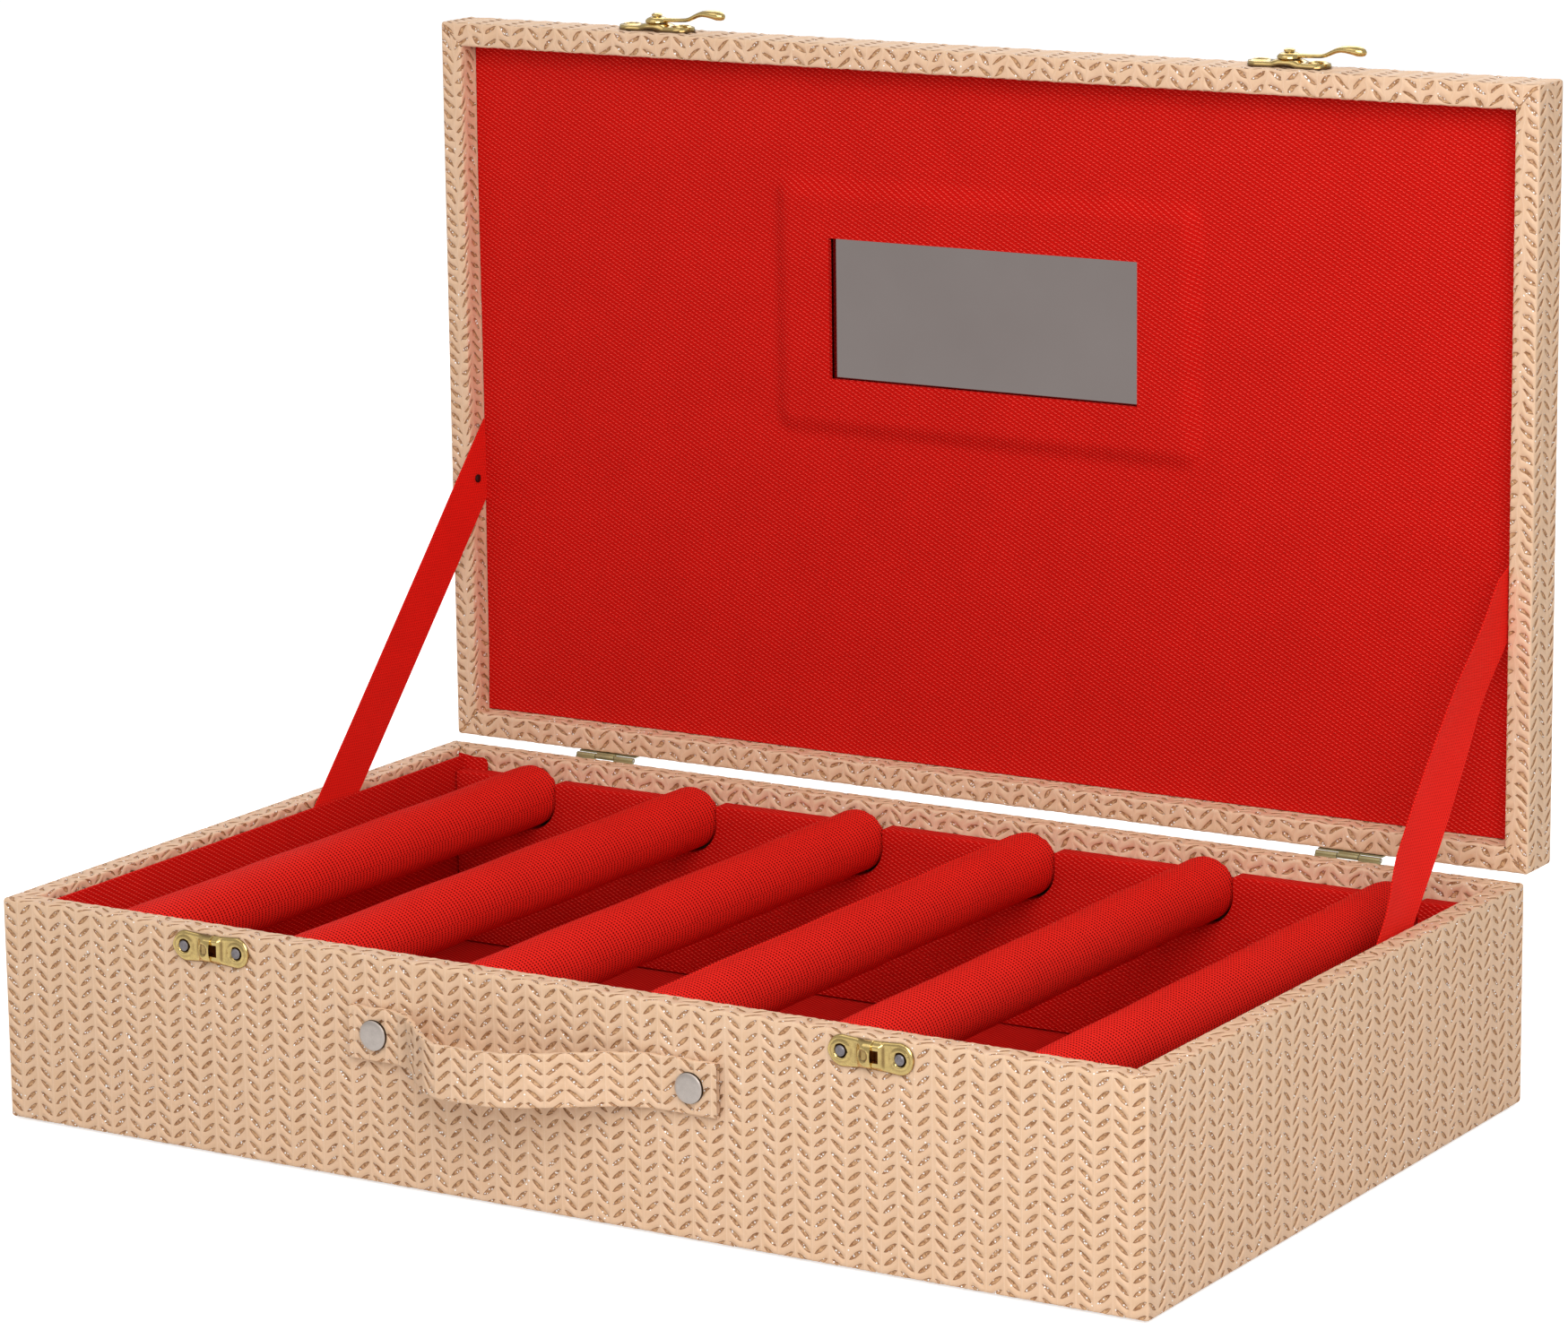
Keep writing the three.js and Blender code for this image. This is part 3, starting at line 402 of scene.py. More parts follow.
def strip(length, course, edge, rim, leaves, turned=False, mitred=True):
    """A wall's strip of covering: x runs along the wall, y into it, z up. course is the sheet's way as (depth, up)
    corners from its first edge to its last, and at the ends it is cut to the mitre."""
    pitch, row, fold = 2 * leaf_pitch, leaf_row, 0.0006
    course = np.array(course)
    run = np.append(0, np.cumsum(np.linalg.norm(np.diff(course, axis=0), axis=1)))
    along, across = (run[-1], length) if turned else (length, run[-1])
    pairs, rows = round(along / pitch), math.ceil(across / row) + 2
    mesh = embossed(leaves, pairs + 2, rows)
    flat = points_of(mesh)
    if turned:
        flat = np.stack([-flat[:, 1], flat[:, 0], flat[:, 2]], 1)
    elif mitred:
        flat[:, 0] *= along / pairs / pitch
    flat[:, 1] += run[-1] + (pitch if turned else row) - flat[:, 1].max()
    wander = np.sin(flat[:, 0] * 71 + flat[:, 1] * 40) + np.sin(flat[:, 0] * 160 - flat[:, 1] * 90 + 2)
    flat[:, 1] += 0.0002 * wander
    flat[:, 0] += 0.00015 * np.roll(wander, 1)
    pull = 0.0006 * eased(np.interp(flat[:, 1], run, course[:, 0]), 0.003) * (rim > 0)
    flat[:, 0] += pull * np.sin(flat[:, 1] * 1100 + flat[:, 0] * 130)
    flat[:, 1] += pull * np.sin(flat[:, 0] * 420 + 1)
    set_points(mesh, flat * (1, 1, 0))
    lines = [((0, run[0], 0), (0, -1, 0), True), ((0, run[-1], 0), (0, 1, 0), True)]
    lines += [((0, at + edge * step, 0), (0, 1, 0), False) for at in run[1:-1] for step in (-1, -.5, 0, .5, 1)]
    lines += [((side * (length / 2 - edge * step), 0, 0), (1, 0, 0), False) for side in (-1, 1) for step in (.5, 1)]
    cut_sheet(mesh, lines)
    flat = points_of(mesh)
    set_points(mesh, flat, "flat")
    bent = [flat[:, 0]] + [np.interp(flat[:, 1], run, course[:, axis]) for axis in (0, 1)]
    set_points(mesh, np.stack(bent, 1))
    cut_sheet(mesh, [((side * (length / 2 - gap), 0, 0), (side, mitred, 0), gap == 0)
                     for side in (-1, 1) for gap in (0, fold)])
    flat, place, lay = points_of(mesh, "flat"), points_of(mesh), points_of(mesh, "lay")
    step = np.clip(np.searchsorted(run, flat[:, 1] + 1e-8) - 1, 0, len(run) - 2)
    ahead = np.diff(course, axis=0) / np.diff(run)[:, None]
    height = lay[:, 2]
    for at in run:
        height = height * eased(flat[:, 1] - at, relief_fade)
    to_mitre = (length / 2 - np.abs(place[:, 0]) - place[:, 1] * mitred) / math.sqrt(2)
    groove = (1 - eased(to_mitre, fold * 0.6)) * eased(place[:, 1], edge) * eased(rim - place[:, 1], edge)
    height = height * eased(to_mitre, 0.0012) - 0.00025 * groove
    # The relief stands off the sheet, and the outer corners are rounded.
    place[:, 1] -= height * ahead[step, 1]
    place[:, 2] += height * ahead[step, 0]
    for before, corner, after in zip(course, course[1:], course[2:]):
        if corner[0] > rim / 2:
            first = (corner - before) / np.linalg.norm(corner - before)
            second = (corner - after) / np.linalg.norm(corner - after)
            past = place[:, 1:] - corner + edge * (first + second)
            over = np.maximum(np.stack([past @ first, past @ second], 1), 0)
            over[over.min(1) == 0] = 0
            kept = over * (over.max(1) / np.maximum(np.linalg.norm(over, axis=1), 1e-9))[:, None]
            place[:, 1:] += (kept - over) @ np.array([first, second])
    lay[:, 2] -= 0.00028 * groove
    set_points(mesh, lay, "lay")
    set_points(mesh, place)
    mesh.attributes.remove(mesh.attributes["flat"])
    return mesh


def fitted(mesh, quarter, outside, low, high, edge, opening):
    """A copy of a strip on one of the four sides of a box: quarter 0 is the front, 1 the right."""
    side = Matrix.Rotation(quarter * math.pi / 2, 4, "Z")
    copy = mesh.copy()
    copy.transform(side @ Matrix.Translation((0, -outside, 0)))
    set_points(copy, rounded(points_of(copy), low, high, edge))
    copy.transform(opening)
    return copy


leatherette, tree, shader = surface("embossed leatherette", "e2c0a0", 0.55)
lay = put(tree, "ShaderNodeAttribute", attribute_name="lay").outputs["Vector"]
flat = put(tree, "ShaderNodeSeparateXYZ", Vector=lay).outputs
in_leaf = ranged(tree, flat["Z"], i1=-0.0002, i2=-0.00032, interpolation_type="SMOOTHSTEP")
# The floors of the pressed leaves darken towards 8c6040: painted shade in the pits.
leaf_pit_shade = ranged(tree, flat["Z"], i1=-0.00057, i2=-0.00045, interpolation_type="SMOOTHSTEP")
spots = noise(tree, lay, 1100, 2, Roughness=0.7)
tan = mixed(tree, ranged(tree, spots, i1=0.38, i2=0.6), "9c6c44", "d4a87c")
leaf = mixed(tree, sum_of(tree, "MULTIPLY", leaf_pit_shade, 0.8), tan, "8c6040")
strand = mixed(tree, noise(tree, lay, 130, 4), "dcb48e", "e5c3a5")
column = sum_of(tree, "FRACT", sum_of(tree, "MULTIPLY_ADD", flat["X"], 1 / leaf_pitch, 0.5))
ridge = ranged(tree, sum_of(tree, "ABSOLUTE", sum_of(tree, "SUBTRACT", column, 0.5)), i1=0.045, i2=0.015)
# The lighter line along each column's ridge is a painted highlight; the ridge also shapes the bump below.
strand = mixed(tree, sum_of(tree, "MULTIPLY", ridge, 0.2), strand, "f0d8c0")
# Glitter flakes, rare on the strands and commoner in the leaves, with a lower roughness; their pure white is a painted
# glint.
cells = put(tree, "ShaderNodeTexVoronoi", Vector=lay, Scale=1150)
chance = put(tree, "ShaderNodeSeparateColor", Color=cells.outputs["Color"]).outputs[0]
rarity = ranged(tree, in_leaf, i3=0.99, i4=0.62)
glitter_glint = sum_of(tree, "MULTIPLY", sum_of(tree, "GREATER_THAN", chance, rarity),
               sum_of(tree, "LESS_THAN", cells.outputs["Distance"], 0.33))
tree.links.new(mixed(tree, glitter_glint, mixed(tree, in_leaf, strand, leaf), "ffffff"), shader.inputs["Base Color"])
tree.links.new(ranged(tree, glitter_glint, i3=0.55, i4=0.25), shader.inputs["Roughness"])
relief = sum_of(tree, "MULTIPLY_ADD", ridge, 0.7, noise(tree, lay, 2200, 2))
bump = put(tree, "ShaderNodeBump", Strength=1.0, Distance=0.00004, Height=relief)
tree.links.new(bump.outputs[0], shader.inputs["Normal"])

edge, rim = 0.0013, 0.0086
leaves = leaf_pair(leaf_pitch, leaf_row, 0.8, 0.24, 0.745)


def covered_walls(body, course, low, high, opening=Matrix(), turned=False):
    """The strips of covering on the four walls of the tray or the lid; turned strips run along the side walls."""
    for quarter, length, turn in ((0, high.x - low.x, False), (1, high.y - low.y, turned)):
        flat_strip = strip(length, course, edge, rim, leaves, turn)
        for place, side in ((quarter, ("front", "right")[quarter]), (quarter + 2, ("back", "left")[quarter])):
            piece = fitted(flat_strip, place, (high.y, high.x)[quarter], low, high, edge, opening)
            finished(piece, f"{body}_covering_{side}", body, [f"{body}_cover"], 50)


low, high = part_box("tray_cover")
under, inside = 0.007, 0.009
covered_walls("tray", [(under, low.z), (0, low.z), (0, high.z), (rim, high.z), (rim, high.z - inside)], low, high)


# Underside. A sheet of plain backing paper under the tray, glued over the covering's
# folded edges.
coat(uneven("backing paper", "b49c80", 0.85, 25, 1500, 0.25), "underside_sheet")


# Red linings of the tray. Bright red pressed felt on card: the floor, two side cards and two
# inserts with a round notch for each rod end.
dashes, given, result = group_of(
    "pressed dashes",
    [("Vector", "Vector"), ("Count", "Float", 900), ("Lean", "Float", 0.8), ("Long", "Float", 0.46),
     ("Wide", "Float", 0.26), ("Rows", "Float", 1), ("Shift", "Float", 0.5)],
    [("Dash", "Float")],
)
spread = put(dashes, "ShaderNodeVectorMath", operation="SCALE", i0=given["Vector"], Scale=given["Count"])
axis = put(dashes, "ShaderNodeSeparateXYZ", Vector=spread.outputs[0]).outputs
rise = sum_of(dashes, "MULTIPLY", axis["Y"], given["Rows"])
shift = sum_of(dashes, "MULTIPLY", sum_of(dashes, "FLOOR", rise), given["Shift"])
x = sum_of(dashes, "SUBTRACT", sum_of(dashes, "FRACT", sum_of(dashes, "ADD", axis["X"], shift)), 0.5)
y = sum_of(dashes, "SUBTRACT", sum_of(dashes, "FRACT", rise), 0.5)
cosine, sine = sum_of(dashes, "COSINE", given["Lean"]), sum_of(dashes, "SINE", given["Lean"])
along = sum_of(dashes, "MULTIPLY_ADD", x, cosine, sum_of(dashes, "MULTIPLY", y, sine))
across = sum_of(dashes, "SUBTRACT", sum_of(dashes, "MULTIPLY", y, cosine), sum_of(dashes, "MULTIPLY", x, sine))
oval = put(dashes, "ShaderNodeCombineXYZ", X=sum_of(dashes, "DIVIDE", along, given["Long"]),
           Y=sum_of(dashes, "DIVIDE", across, given["Wide"]))
reach = put(dashes, "ShaderNodeVectorMath", operation="LENGTH", i0=oval.outputs[0]).outputs["Value"]
dashes.links.new(ranged(dashes, reach, i1=1.1, i2=0.5, interpolation_type="SMOOTHSTEP"), result["Dash"])


def red_cloth(name, ground, dash, rough, press, **pattern):
    """Red cloth with rows of pressed (or, with press below 0, raised) dashes laid out on the piece's lay; the dashes'
    own colour is painted light, lighter as a painted highlight on raised dashes and darker as painted shade in pressed
    ones.
    """
    material, tree, shader = surface(name, ground, rough, Specular_IOR_Level=0.04)
    lay = put(tree, "ShaderNodeAttribute", attribute_name="lay").outputs["Vector"]
    marks = put(tree, "ShaderNodeGroup", node_tree=dashes, Vector=lay, **pattern).outputs[0]
    bump = mottled(tree, shader, mixed(tree, marks, ground, dash), rough, 45, 2600, 0.14)
    pressed = put(tree, "ShaderNodeBump", Strength=1.0, Distance=-press, Height=marks)
    tree.links.new(pressed.outputs[0], bump.inputs["Normal"])
    return material


# The felt's pale pink dashes are a painted highlight on its raised grains.
felt = red_cloth("red felt", "c2100a", "f4463c", 0.8, -0.0002, Count=360, Rows=4.0, Shift=0.445, Lean=2.0,
                 Long=0.48, Wide=0.19)


def softened(node, name, body, material, width, crease=40):
    """A copy of a CAD piece with its edges rounded, and its lay taken from the way each face looks."""
    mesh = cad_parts[node].data.copy()
    shape = shape_of(mesh)
    bmesh.ops.remove_doubles(shape, verts=shape.verts, dist=1e-6)
    bmesh.ops.dissolve_limit(shape, angle_limit=0.01, verts=shape.verts, edges=shape.edges)
    sharp = [e for e in shape.edges if len(e.link_faces) == 2 and e.calc_face_angle() > 0.5]
    bmesh.ops.bevel(shape, geom=sharp, offset=width, segments=2, profile=0.5, affect="EDGES", clamp_overlap=True)
    mesh_of(shape, mesh)
    mesh.materials.clear()
    mesh.materials.append(material)
    lay_from_faces(mesh)
    return finished(mesh, name, body, [node], crease)


def lay_from_faces(mesh):
    """Notes each face corner's place across the face: the two axes that the face looks along least."""
    values = np.zeros((len(mesh.loops), 3))
    for face in mesh.polygons:
        axes = [i for i in range(3) if i != max(range(3), key=lambda i: abs(face.normal[i]))]
        for loop in face.loop_indices:
            place = mesh.vertices[mesh.loops[loop].vertex_index].co
            values[loop, :2] = place[axes[0]], place[axes[1]]
    note_corners(mesh, values)


def note_corners(mesh, values):
    """Notes the lay at each face corner."""
    made = mesh.attributes.new("lay", "FLOAT_VECTOR", "CORNER")
    made.data.foreach_set("vector", np.ascontiguousarray(values, float).ravel())


softened("floor_lining", "floor_card", "tray", felt, 0.0003)
softened("left_lining", "left_side_card", "tray", felt, 0.0005)
softened("right_lining", "right_side_card", "tray", felt, 0.0005)


def slab(outline, y, thick):
    """A flat card across the box from its outline in X and Z."""
    shape = bmesh.new()
    face = shape.faces.new([shape.verts.new((x, y, z)) for x, z in outline])
    moved = bmesh.ops.extrude_face_region(shape, geom=[face])["geom"]
    bmesh.ops.translate(shape, vec=(0, thick, 0), verts=[v for v in moved if isinstance(v, bmesh.types.BMVert)])
    bmesh.ops.recalc_face_normals(shape, faces=shape.faces)
    return shape


def felted(shape, name, nodes):
    """Makes a card's shape a felt-covered piece of the tray."""
    mesh = mesh_of(shape, name)
    mesh.materials.append(felt)
    lay_from_faces(mesh)
    finished(mesh, name, "tray", nodes, 50)


# The end of the left side card's felt, folded over the back card's corner.
flap = [(-.2012, .0662), (-.1902, .0662), (-.1893, .0672), (-.1891, .0695), (-.1896, .0712), (-.191, .0719),
        (-.1945, .0718), (-.198, .0722), (-.2012, .0726)]
flap_reach, flap_thick = 0.0012, 0.0008
felted(slab(flap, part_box("left_lining")[1].y - flap_reach, flap_thick), "left_side_flap", [])


def notched_card(node, name):
    """A card as long as its CAD piece, with a round notch a little wider and deeper than each rod."""
    low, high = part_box(node)
    radius, right_by, down_by = 0.0111, 0.0002, 0.0008
    outline = [(low.x, low.z), (high.x, low.z), (high.x, high.z)]
    for number in range(6, 0, -1):
        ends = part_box(f"rod_{number}_sleeve")
        x, z = (ends[0].x + ends[1].x) / 2 + right_by, (ends[0].z + ends[1].z) / 2 - down_by
        sweep = [-math.pi * step / 20 for step in range(21)]
        outline += [(x + radius, high.z)] + [(x + radius * math.cos(a), z + radius * math.sin(a)) for a in sweep]
        outline += [(x - radius, high.z)]
    outline.append((low.x, high.z))
    shape = slab(outline, low.y, high.y - low.y)
    rims = [e for e in shape.edges if e.calc_face_angle(0) > 1.2]
    bmesh.ops.bevel(shape, geom=rims, offset=0.0006, segments=2, profile=0.5, affect="EDGES", clamp_overlap=True)
    bmesh.ops.triangulate(shape, faces=[f for f in shape.faces if len(f.verts) > 4])
    felted(shape, name, [node])


notched_card("front_insert", "front_notched_card")
notched_card("back_insert", "back_notched_card")


# Six rods for the bangles. A round core in a sleeve of fine red knit that is gathered over
# both ends; they lie loose in the notches and lift out.
# The knit's dark dashes are painted shade in the pits between its stitches.
knit = red_cloth("red knit", "e8281f", "5c0402", 0.7, 0.00025, Count=560, Rows=2.1, Shift=0.12, Lean=1.35,
                 Long=0.36, Wide=0.24)
core_end = uneven("rod core", "8b6a4a", 0.8, 300, 2500, 0.4)


def sleeve(radius, half, seed, seam):
    """A gathered tube of cloth about Y with a lapped seam, open by a small hole at each end."""
    end = [(0.0028, -0.0012), (0.003, -0.0003), (0.0045, 0.0), (radius - 0.0045, -0.0001), (radius - 0.003, -0.0005),
           (radius - 0.0017, -0.0012), (radius - 0.0008, -0.0022), (radius - 0.0002, -0.0036), (radius, -0.0055)]
    rings = [(r, -half - y, 1) for r, y in end] + [(radius, y, 0) for y in np.linspace(-half + 0.01, half - 0.01, 25)]
    rings += [(r, half + y, 1) for r, y in reversed(end)]
    angle = np.unique(np.append(np.arange(64) / 32 * math.pi, seam + np.array([-0.05, -0.012, 0.012, 0.05])))
    turns, around = len(angle), np.append(angle, 2 * math.pi) * radius
    lap = 0.0004 * (np.abs(angle - seam - 0.019) < 0.035)
    corners, lays, run = [], [], 0
    for place, (r, y, gathered) in enumerate(rings):
        pleat = np.cos(angle * 13 + seed) * 0.5 + np.cos(angle * 21 + 2 * seed) * 0.5
        deep = gathered * 0.0005 * (1 - abs(r / radius - 0.55)) * (r < radius - 0.0004)
        sway = 0.00012 * np.sin(y * 90 + seed + angle * 2) * (1 - gathered)
        ring = r + sway - deep * 0.3 * pleat + lap * (1 - gathered)
        rise = y + (1 if y > 0 else -1) * deep * pleat * -0.8
        corners += list(zip(ring * np.cos(angle), np.full(turns, 1.0) * rise, ring * np.sin(angle)))
        if place:
            run += math.hypot(r - rings[place - 1][0], y - rings[place - 1][1])
        lays.append(run)
    faces, values = [], []
    for ring in range(len(rings) - 1):
        for step in range(turns):
            a, b = ring * turns + step, ring * turns + (step + 1) % turns
            faces.append((a, a + turns, b + turns, b))
            values += [(lays[ring], around[step], 0), (lays[ring + 1], around[step], 0),
                       (lays[ring + 1], around[step + 1], 0), (lays[ring], around[step + 1], 0)]
    mesh = drawn("sleeve", [tuple(map(float, corner)) for corner in corners], faces)
    note_corners(mesh, values)
    mesh.materials.append(knit)
    return mesh


for number in range(1, 7):
    low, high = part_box(f"rod_{number}_sleeve")
    seam = 1.86 if number == 4 else 4.4 + 0.1 * number
    tube = sleeve((high.x - low.x) / 2, (high.y - low.y) / 2, number, seam)
    tube.transform(Matrix.Translation((low + high) / 2))
    finished(tube, f"rod_{number}_fabric", f"rod_{number}", [f"rod_{number}_sleeve"], 60)
    coat(core_end, f"rod_{number}_core")


# Carrying strap on the tray's front. A doubled strip of the same leatherette that bows out for
# the fingers, held by two flat steel rivets.
strap_length, strap_wide, strap_thick, strap_shift = 0.1355, 0.0174, 0.0022, -0.0033
strap_bow, strap_sag, strap_high, wall_front, glue = 0.016, 0.003, 0.0498, -0.128, 0.00015
strap_leaves = leaf_pair(leaf_pitch, leaf_row, 0.9, 0.22, 0.56, 1.0)
course = [(strap_thick, 0), (strap_thick, -strap_wide / 2), (0, -strap_wide / 2), (0, strap_wide / 2),
          (strap_thick, strap_wide / 2), (strap_thick, 0)]
strap = strip(strap_length, course, 0.0009, -1, strap_leaves, mitred=False)
place = points_of(strap)


def strap_line(share):
    """The strap's middle line, from 0 at its left end to 1 at its right end."""
    swell = smooth_step((share - 0.12) / 0.21) * (1 - smooth_step((share - 0.42) / 0.44))
    return np.stack([strap_shift + (share - 0.5) * strap_length,
                     wall_front - glue - strap_thick / 2 - strap_bow * swell, strap_high - strap_sag * swell], 1)


share = place[:, 0] / strap_length + 0.5
middle, ahead = strap_line(share), strap_line(share + 0.004) - strap_line(share - 0.004)
ahead[:, 2] = 0
ahead /= np.linalg.norm(ahead, axis=1)[:, None]
outward = np.stack([ahead[:, 1], -ahead[:, 0], 0 * share], 1)
crinkle = 0.00035 * np.sin(share * 330 + place[:, 2] * 260) * np.exp(-((share - 0.2) / 0.055) ** 2)
bend = middle + outward * (strap_thick / 2 - place[:, 1] + crinkle)[:, None]
bend[:, 2] += place[:, 2]
set_points(strap, bend)
shape = shape_of(strap)
bmesh.ops.remove_doubles(shape, verts=shape.verts, dist=0.00001)
# Each end gets a dark brown face: the strap's cut edge in its own brown, darkened as painted shade for the gap behind
# the end.
for side in (-1, 1):
    rim_edges = [e for e in shape.edges if e.is_boundary
                 and all(abs(v.co.x - strap_shift - side * strap_length / 2) < 0.0004 for v in e.verts)]
    for face in bmesh.ops.edgeloop_fill(shape, edges=rim_edges)["faces"]:
        face.material_index = 1
mesh_of(shape, strap)
strap.materials.append(uneven("strap end with painted shade", "7a5c48", 0.85, 400, 3000, 0.5))
finished(strap, "strap", "tray", ["carrying_strap"], 50)

# The steel's dark 30261e is painted shade, laid by the deep attribute of the rivet caps.
steel = uneven("satin steel", "c9beb6", 0.42, 500, 4000, 0.2, 0.000005, "30261e", 1.0)


def turned_part(profile, turns=24, dark=-1):
    """A closed round part about Z from (radius, height) points, from foot to top, with painted shade below a height."""
    shape = bmesh.new()
    chain = [shape.verts.new((r, 0, z)) for r, z in profile]
    line = [shape.edges.new(pair) for pair in zip(chain, chain[1:])]
    bmesh.ops.spin(shape, geom=chain + line, cent=(0, 0, 0), axis=(0, 0, 1), angle=2 * math.pi, steps=turns)
    bmesh.ops.remove_doubles(shape, verts=shape.verts, dist=1e-7)
    bmesh.ops.recalc_face_normals(shape, faces=shape.faces)
    mesh = mesh_of(shape, "round part")
    painted_shade = [float(corner.co.z < dark) for corner in mesh.vertices]
    mesh.attributes.new("deep", "FLOAT", "POINT").data.foreach_set("value", painted_shade)
    return placed("round part", mesh)


fixing, given, result = group_of(
    "fixings", [("Geometry", "Geometry"), ("Part", "Object"), ("Turn", "Rotation"), ("Material", "Material")],
    [("Geometry", "Geometry")], "GeometryNodeTree",
)
part = put(fixing, "GeometryNodeObjectInfo", Object=given["Part"])
set_out = put(fixing, "GeometryNodeInstanceOnPoints", Points=given["Geometry"], Instance=part.outputs["Geometry"],
              Rotation=given["Turn"])
real = put(fixing, "GeometryNodeRealizeInstances", Geometry=set_out.outputs[0])
dressed = put(fixing, "GeometryNodeSetMaterial", Geometry=real.outputs[0], Material=given["Material"])
fixing.links.new(dressed.outputs[0], result["Geometry"])


def fixings(name, part, places, turn, material, body, nodes):
    """The same small part at several places of one body, as one piece."""
    finished(grown(fixing, (part, turn, material), places), name, body, nodes, 35)


def face_of(node, axis, end):
    """The middle of a CAD piece's box, moved to one end of an axis."""
    low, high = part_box(node)
    middle = (low + high) / 2
    middle[axis] = (low, high)[end][axis]
    return middle


# The rivet cap is painted dark below 0.1 mm under its face: painted shade round its foot.
rivet = turned_part([(0, -0.0009), (0.0049, -0.0009), (0.0049, -0.0004), (0.0048, -0.0003), (0.0048, 0.0),
                     (0.0044, 0.0003), (0.003, 0.00042), (0, 0.00045)], 36, -0.0001)
forward = (math.pi / 2, 0, 0)
rivets = ["strap_rivet_left", "strap_rivet_right"]
cap_sunk = Vector((0, 0.0004, 0))
caps = [face_of(node, 1, 0) + cap_sunk for node in rivets]
fixings("strap_rivet_caps", rivet, caps, forward, steel, "tray", rivets)


# Covering of the lid. The same leatherette over the shut lid's top and walls, round the rim
# and up inside; its pattern runs from front to back over the top. It is drawn shut and opened.
lid_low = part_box("lid_cover")[0]
low, high = Vector((-0.21, -0.128, 0.0753)), Vector((0.21, 0.128, 0.0938))
opened = Matrix(((1, 0, 0, 0), (0, 0, 1, lid_low.y - low.z), (0, -1, 0, lid_low.z + high.y), (0, 0, 0, 1)))
covered_walls("lid", [(rim, low.z + 0.0095), (rim, low.z), (0, low.z), (0, high.z)], low, high, opened, True)

wide, deep = high.x - low.x, high.y - low.y
top = embossed(leaves, round(wide / leaf_pitch / 2) + 2, math.ceil(deep / leaf_row) + 2)
lines = [(tuple(side * (size / 2 - gap) * way for way in axis), [side * way for way in axis], gap == 0)
         for axis, size in (((1, 0, 0), wide), ((0, 1, 0), deep)) for side in (-1, 1)
         for gap in (0, edge / 2, edge)]
flat = points_of(top)
set_points(top, flat * (1, 1, 0))
cut_sheet(top, lines)
place, lay = points_of(top), points_of(top, "lay")
to_side, to_end = wide / 2 - np.abs(place[:, 0]), deep / 2 - np.abs(place[:, 1])
place[:, 2] = high.z + lay[:, 2] * eased(to_side, relief_fade) * eased(to_end, relief_fade)
set_points(top, rounded(place, low, high, edge))
top.transform(opened)
finished(top, "lid_covering_top", "lid", ["lid_cover"], 50)


# Lid panel. A card covered in red pressed felt that rises softly over the mirror, with a
# window in front of the glass; one lower corner stands off a little.
def two_faced(name, front, behind, cells):
    """A closed thin mesh from two like nets of points, the cells that are kept and a rim round them."""
    size, faces = len(front), []
    for cell in cells:
        faces += [cell, [corner + size for corner in reversed(cell)]]
    edges = {edge: None for cell in cells for edge in zip(cell, cell[1:] + cell[:1])}
    faces += [(b, a, a + size, b + size) for a, b in edges if (b, a) not in edges]
    return drawn(name, np.concatenate([front, behind]).tolist(), faces)


def card(name, xs, zs, face, thick, window, material):
    """A thin card across the lid from its lines in X and Z and its face's place in Y, with a window left out."""
    grid_x, grid_z = np.meshgrid(xs, zs, indexing="ij")
    front = np.stack([grid_x, face(grid_x, grid_z), grid_z], -1).reshape(-1, 3)
    count, cells = len(zs), []
    for i in range(len(xs) - 1):
        for j in range(count - 1):
            x, z, corner = (xs[i] + xs[i + 1]) / 2, (zs[j] + zs[j + 1]) / 2, i * count + j
            if not (window[0] < x < window[1] and window[2] < z < window[3]):
                cells.append([corner, corner + count, corner + count + 1, corner + 1])
    mesh = two_faced(name, front, front + (0, thick, 0), cells)
    shape = shape_of(mesh)
    bmesh.ops.delete(shape, geom=[v for v in shape.verts if not v.link_faces], context="VERTS")
    mesh_of(shape, mesh)
    mesh.materials.append(material)
    lay_from_faces(mesh)
    return mesh


panel_low, panel_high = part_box("lid_panel")
glass_low, glass_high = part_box("mirror_glass")
window = (-0.0555, 0.0635, lid_low.z + 0.14045, lid_low.z + 0.18895)
field_x, field_z = (glass_low.x + glass_high.x) / 2, (glass_low.z + glass_high.z) / 2
card_face, field_rise = lid_low.y + 0.00875, 0.0027


def panel_face(x, z):
    """The panel's face in Y: raised over the mirror, a little wavy beside it, and off the board at one corner."""
    beyond = np.stack([np.maximum(np.abs(x - field_x) - 0.0755, 0), np.maximum(np.abs(z - field_z) - 0.0375, 0)])
    slope = 1 - smooth_step(np.hypot(*beyond) / 0.008)
    bow = 0.0002 * np.sin(x * 31 + 1) * np.sin(z * 40) * (1 - slope)
    loose = np.exp(-((x - panel_low.x) ** 2 + (z - panel_low.z) ** 2) / 0.012 ** 2)
    return card_face - field_rise * slope + bow - 0.0008 * loose


def panel_lines(low, high, count, field, half, opening):
    """The panel's lines along one axis: evenly over it, closer on the field's slopes, and at the window's edges."""
    near, reach = np.linspace(-0.0125, 0.0035, 13), 0.0008
    even = np.linspace(low - reach, high + reach, count)
    return np.unique(np.concatenate([even, field - half + near, field + half - near, opening]))


xs = panel_lines(panel_low.x, panel_high.x, 65, field_x, 0.076, window[:2])
zs = panel_lines(panel_low.z, panel_high.z, 41, field_z, 0.038, window[2:])
panel = card("red panel", xs, zs, panel_face, 0.0018, window, felt)
finished(panel, "red_panel", "lid", ["lid_panel"], 50)


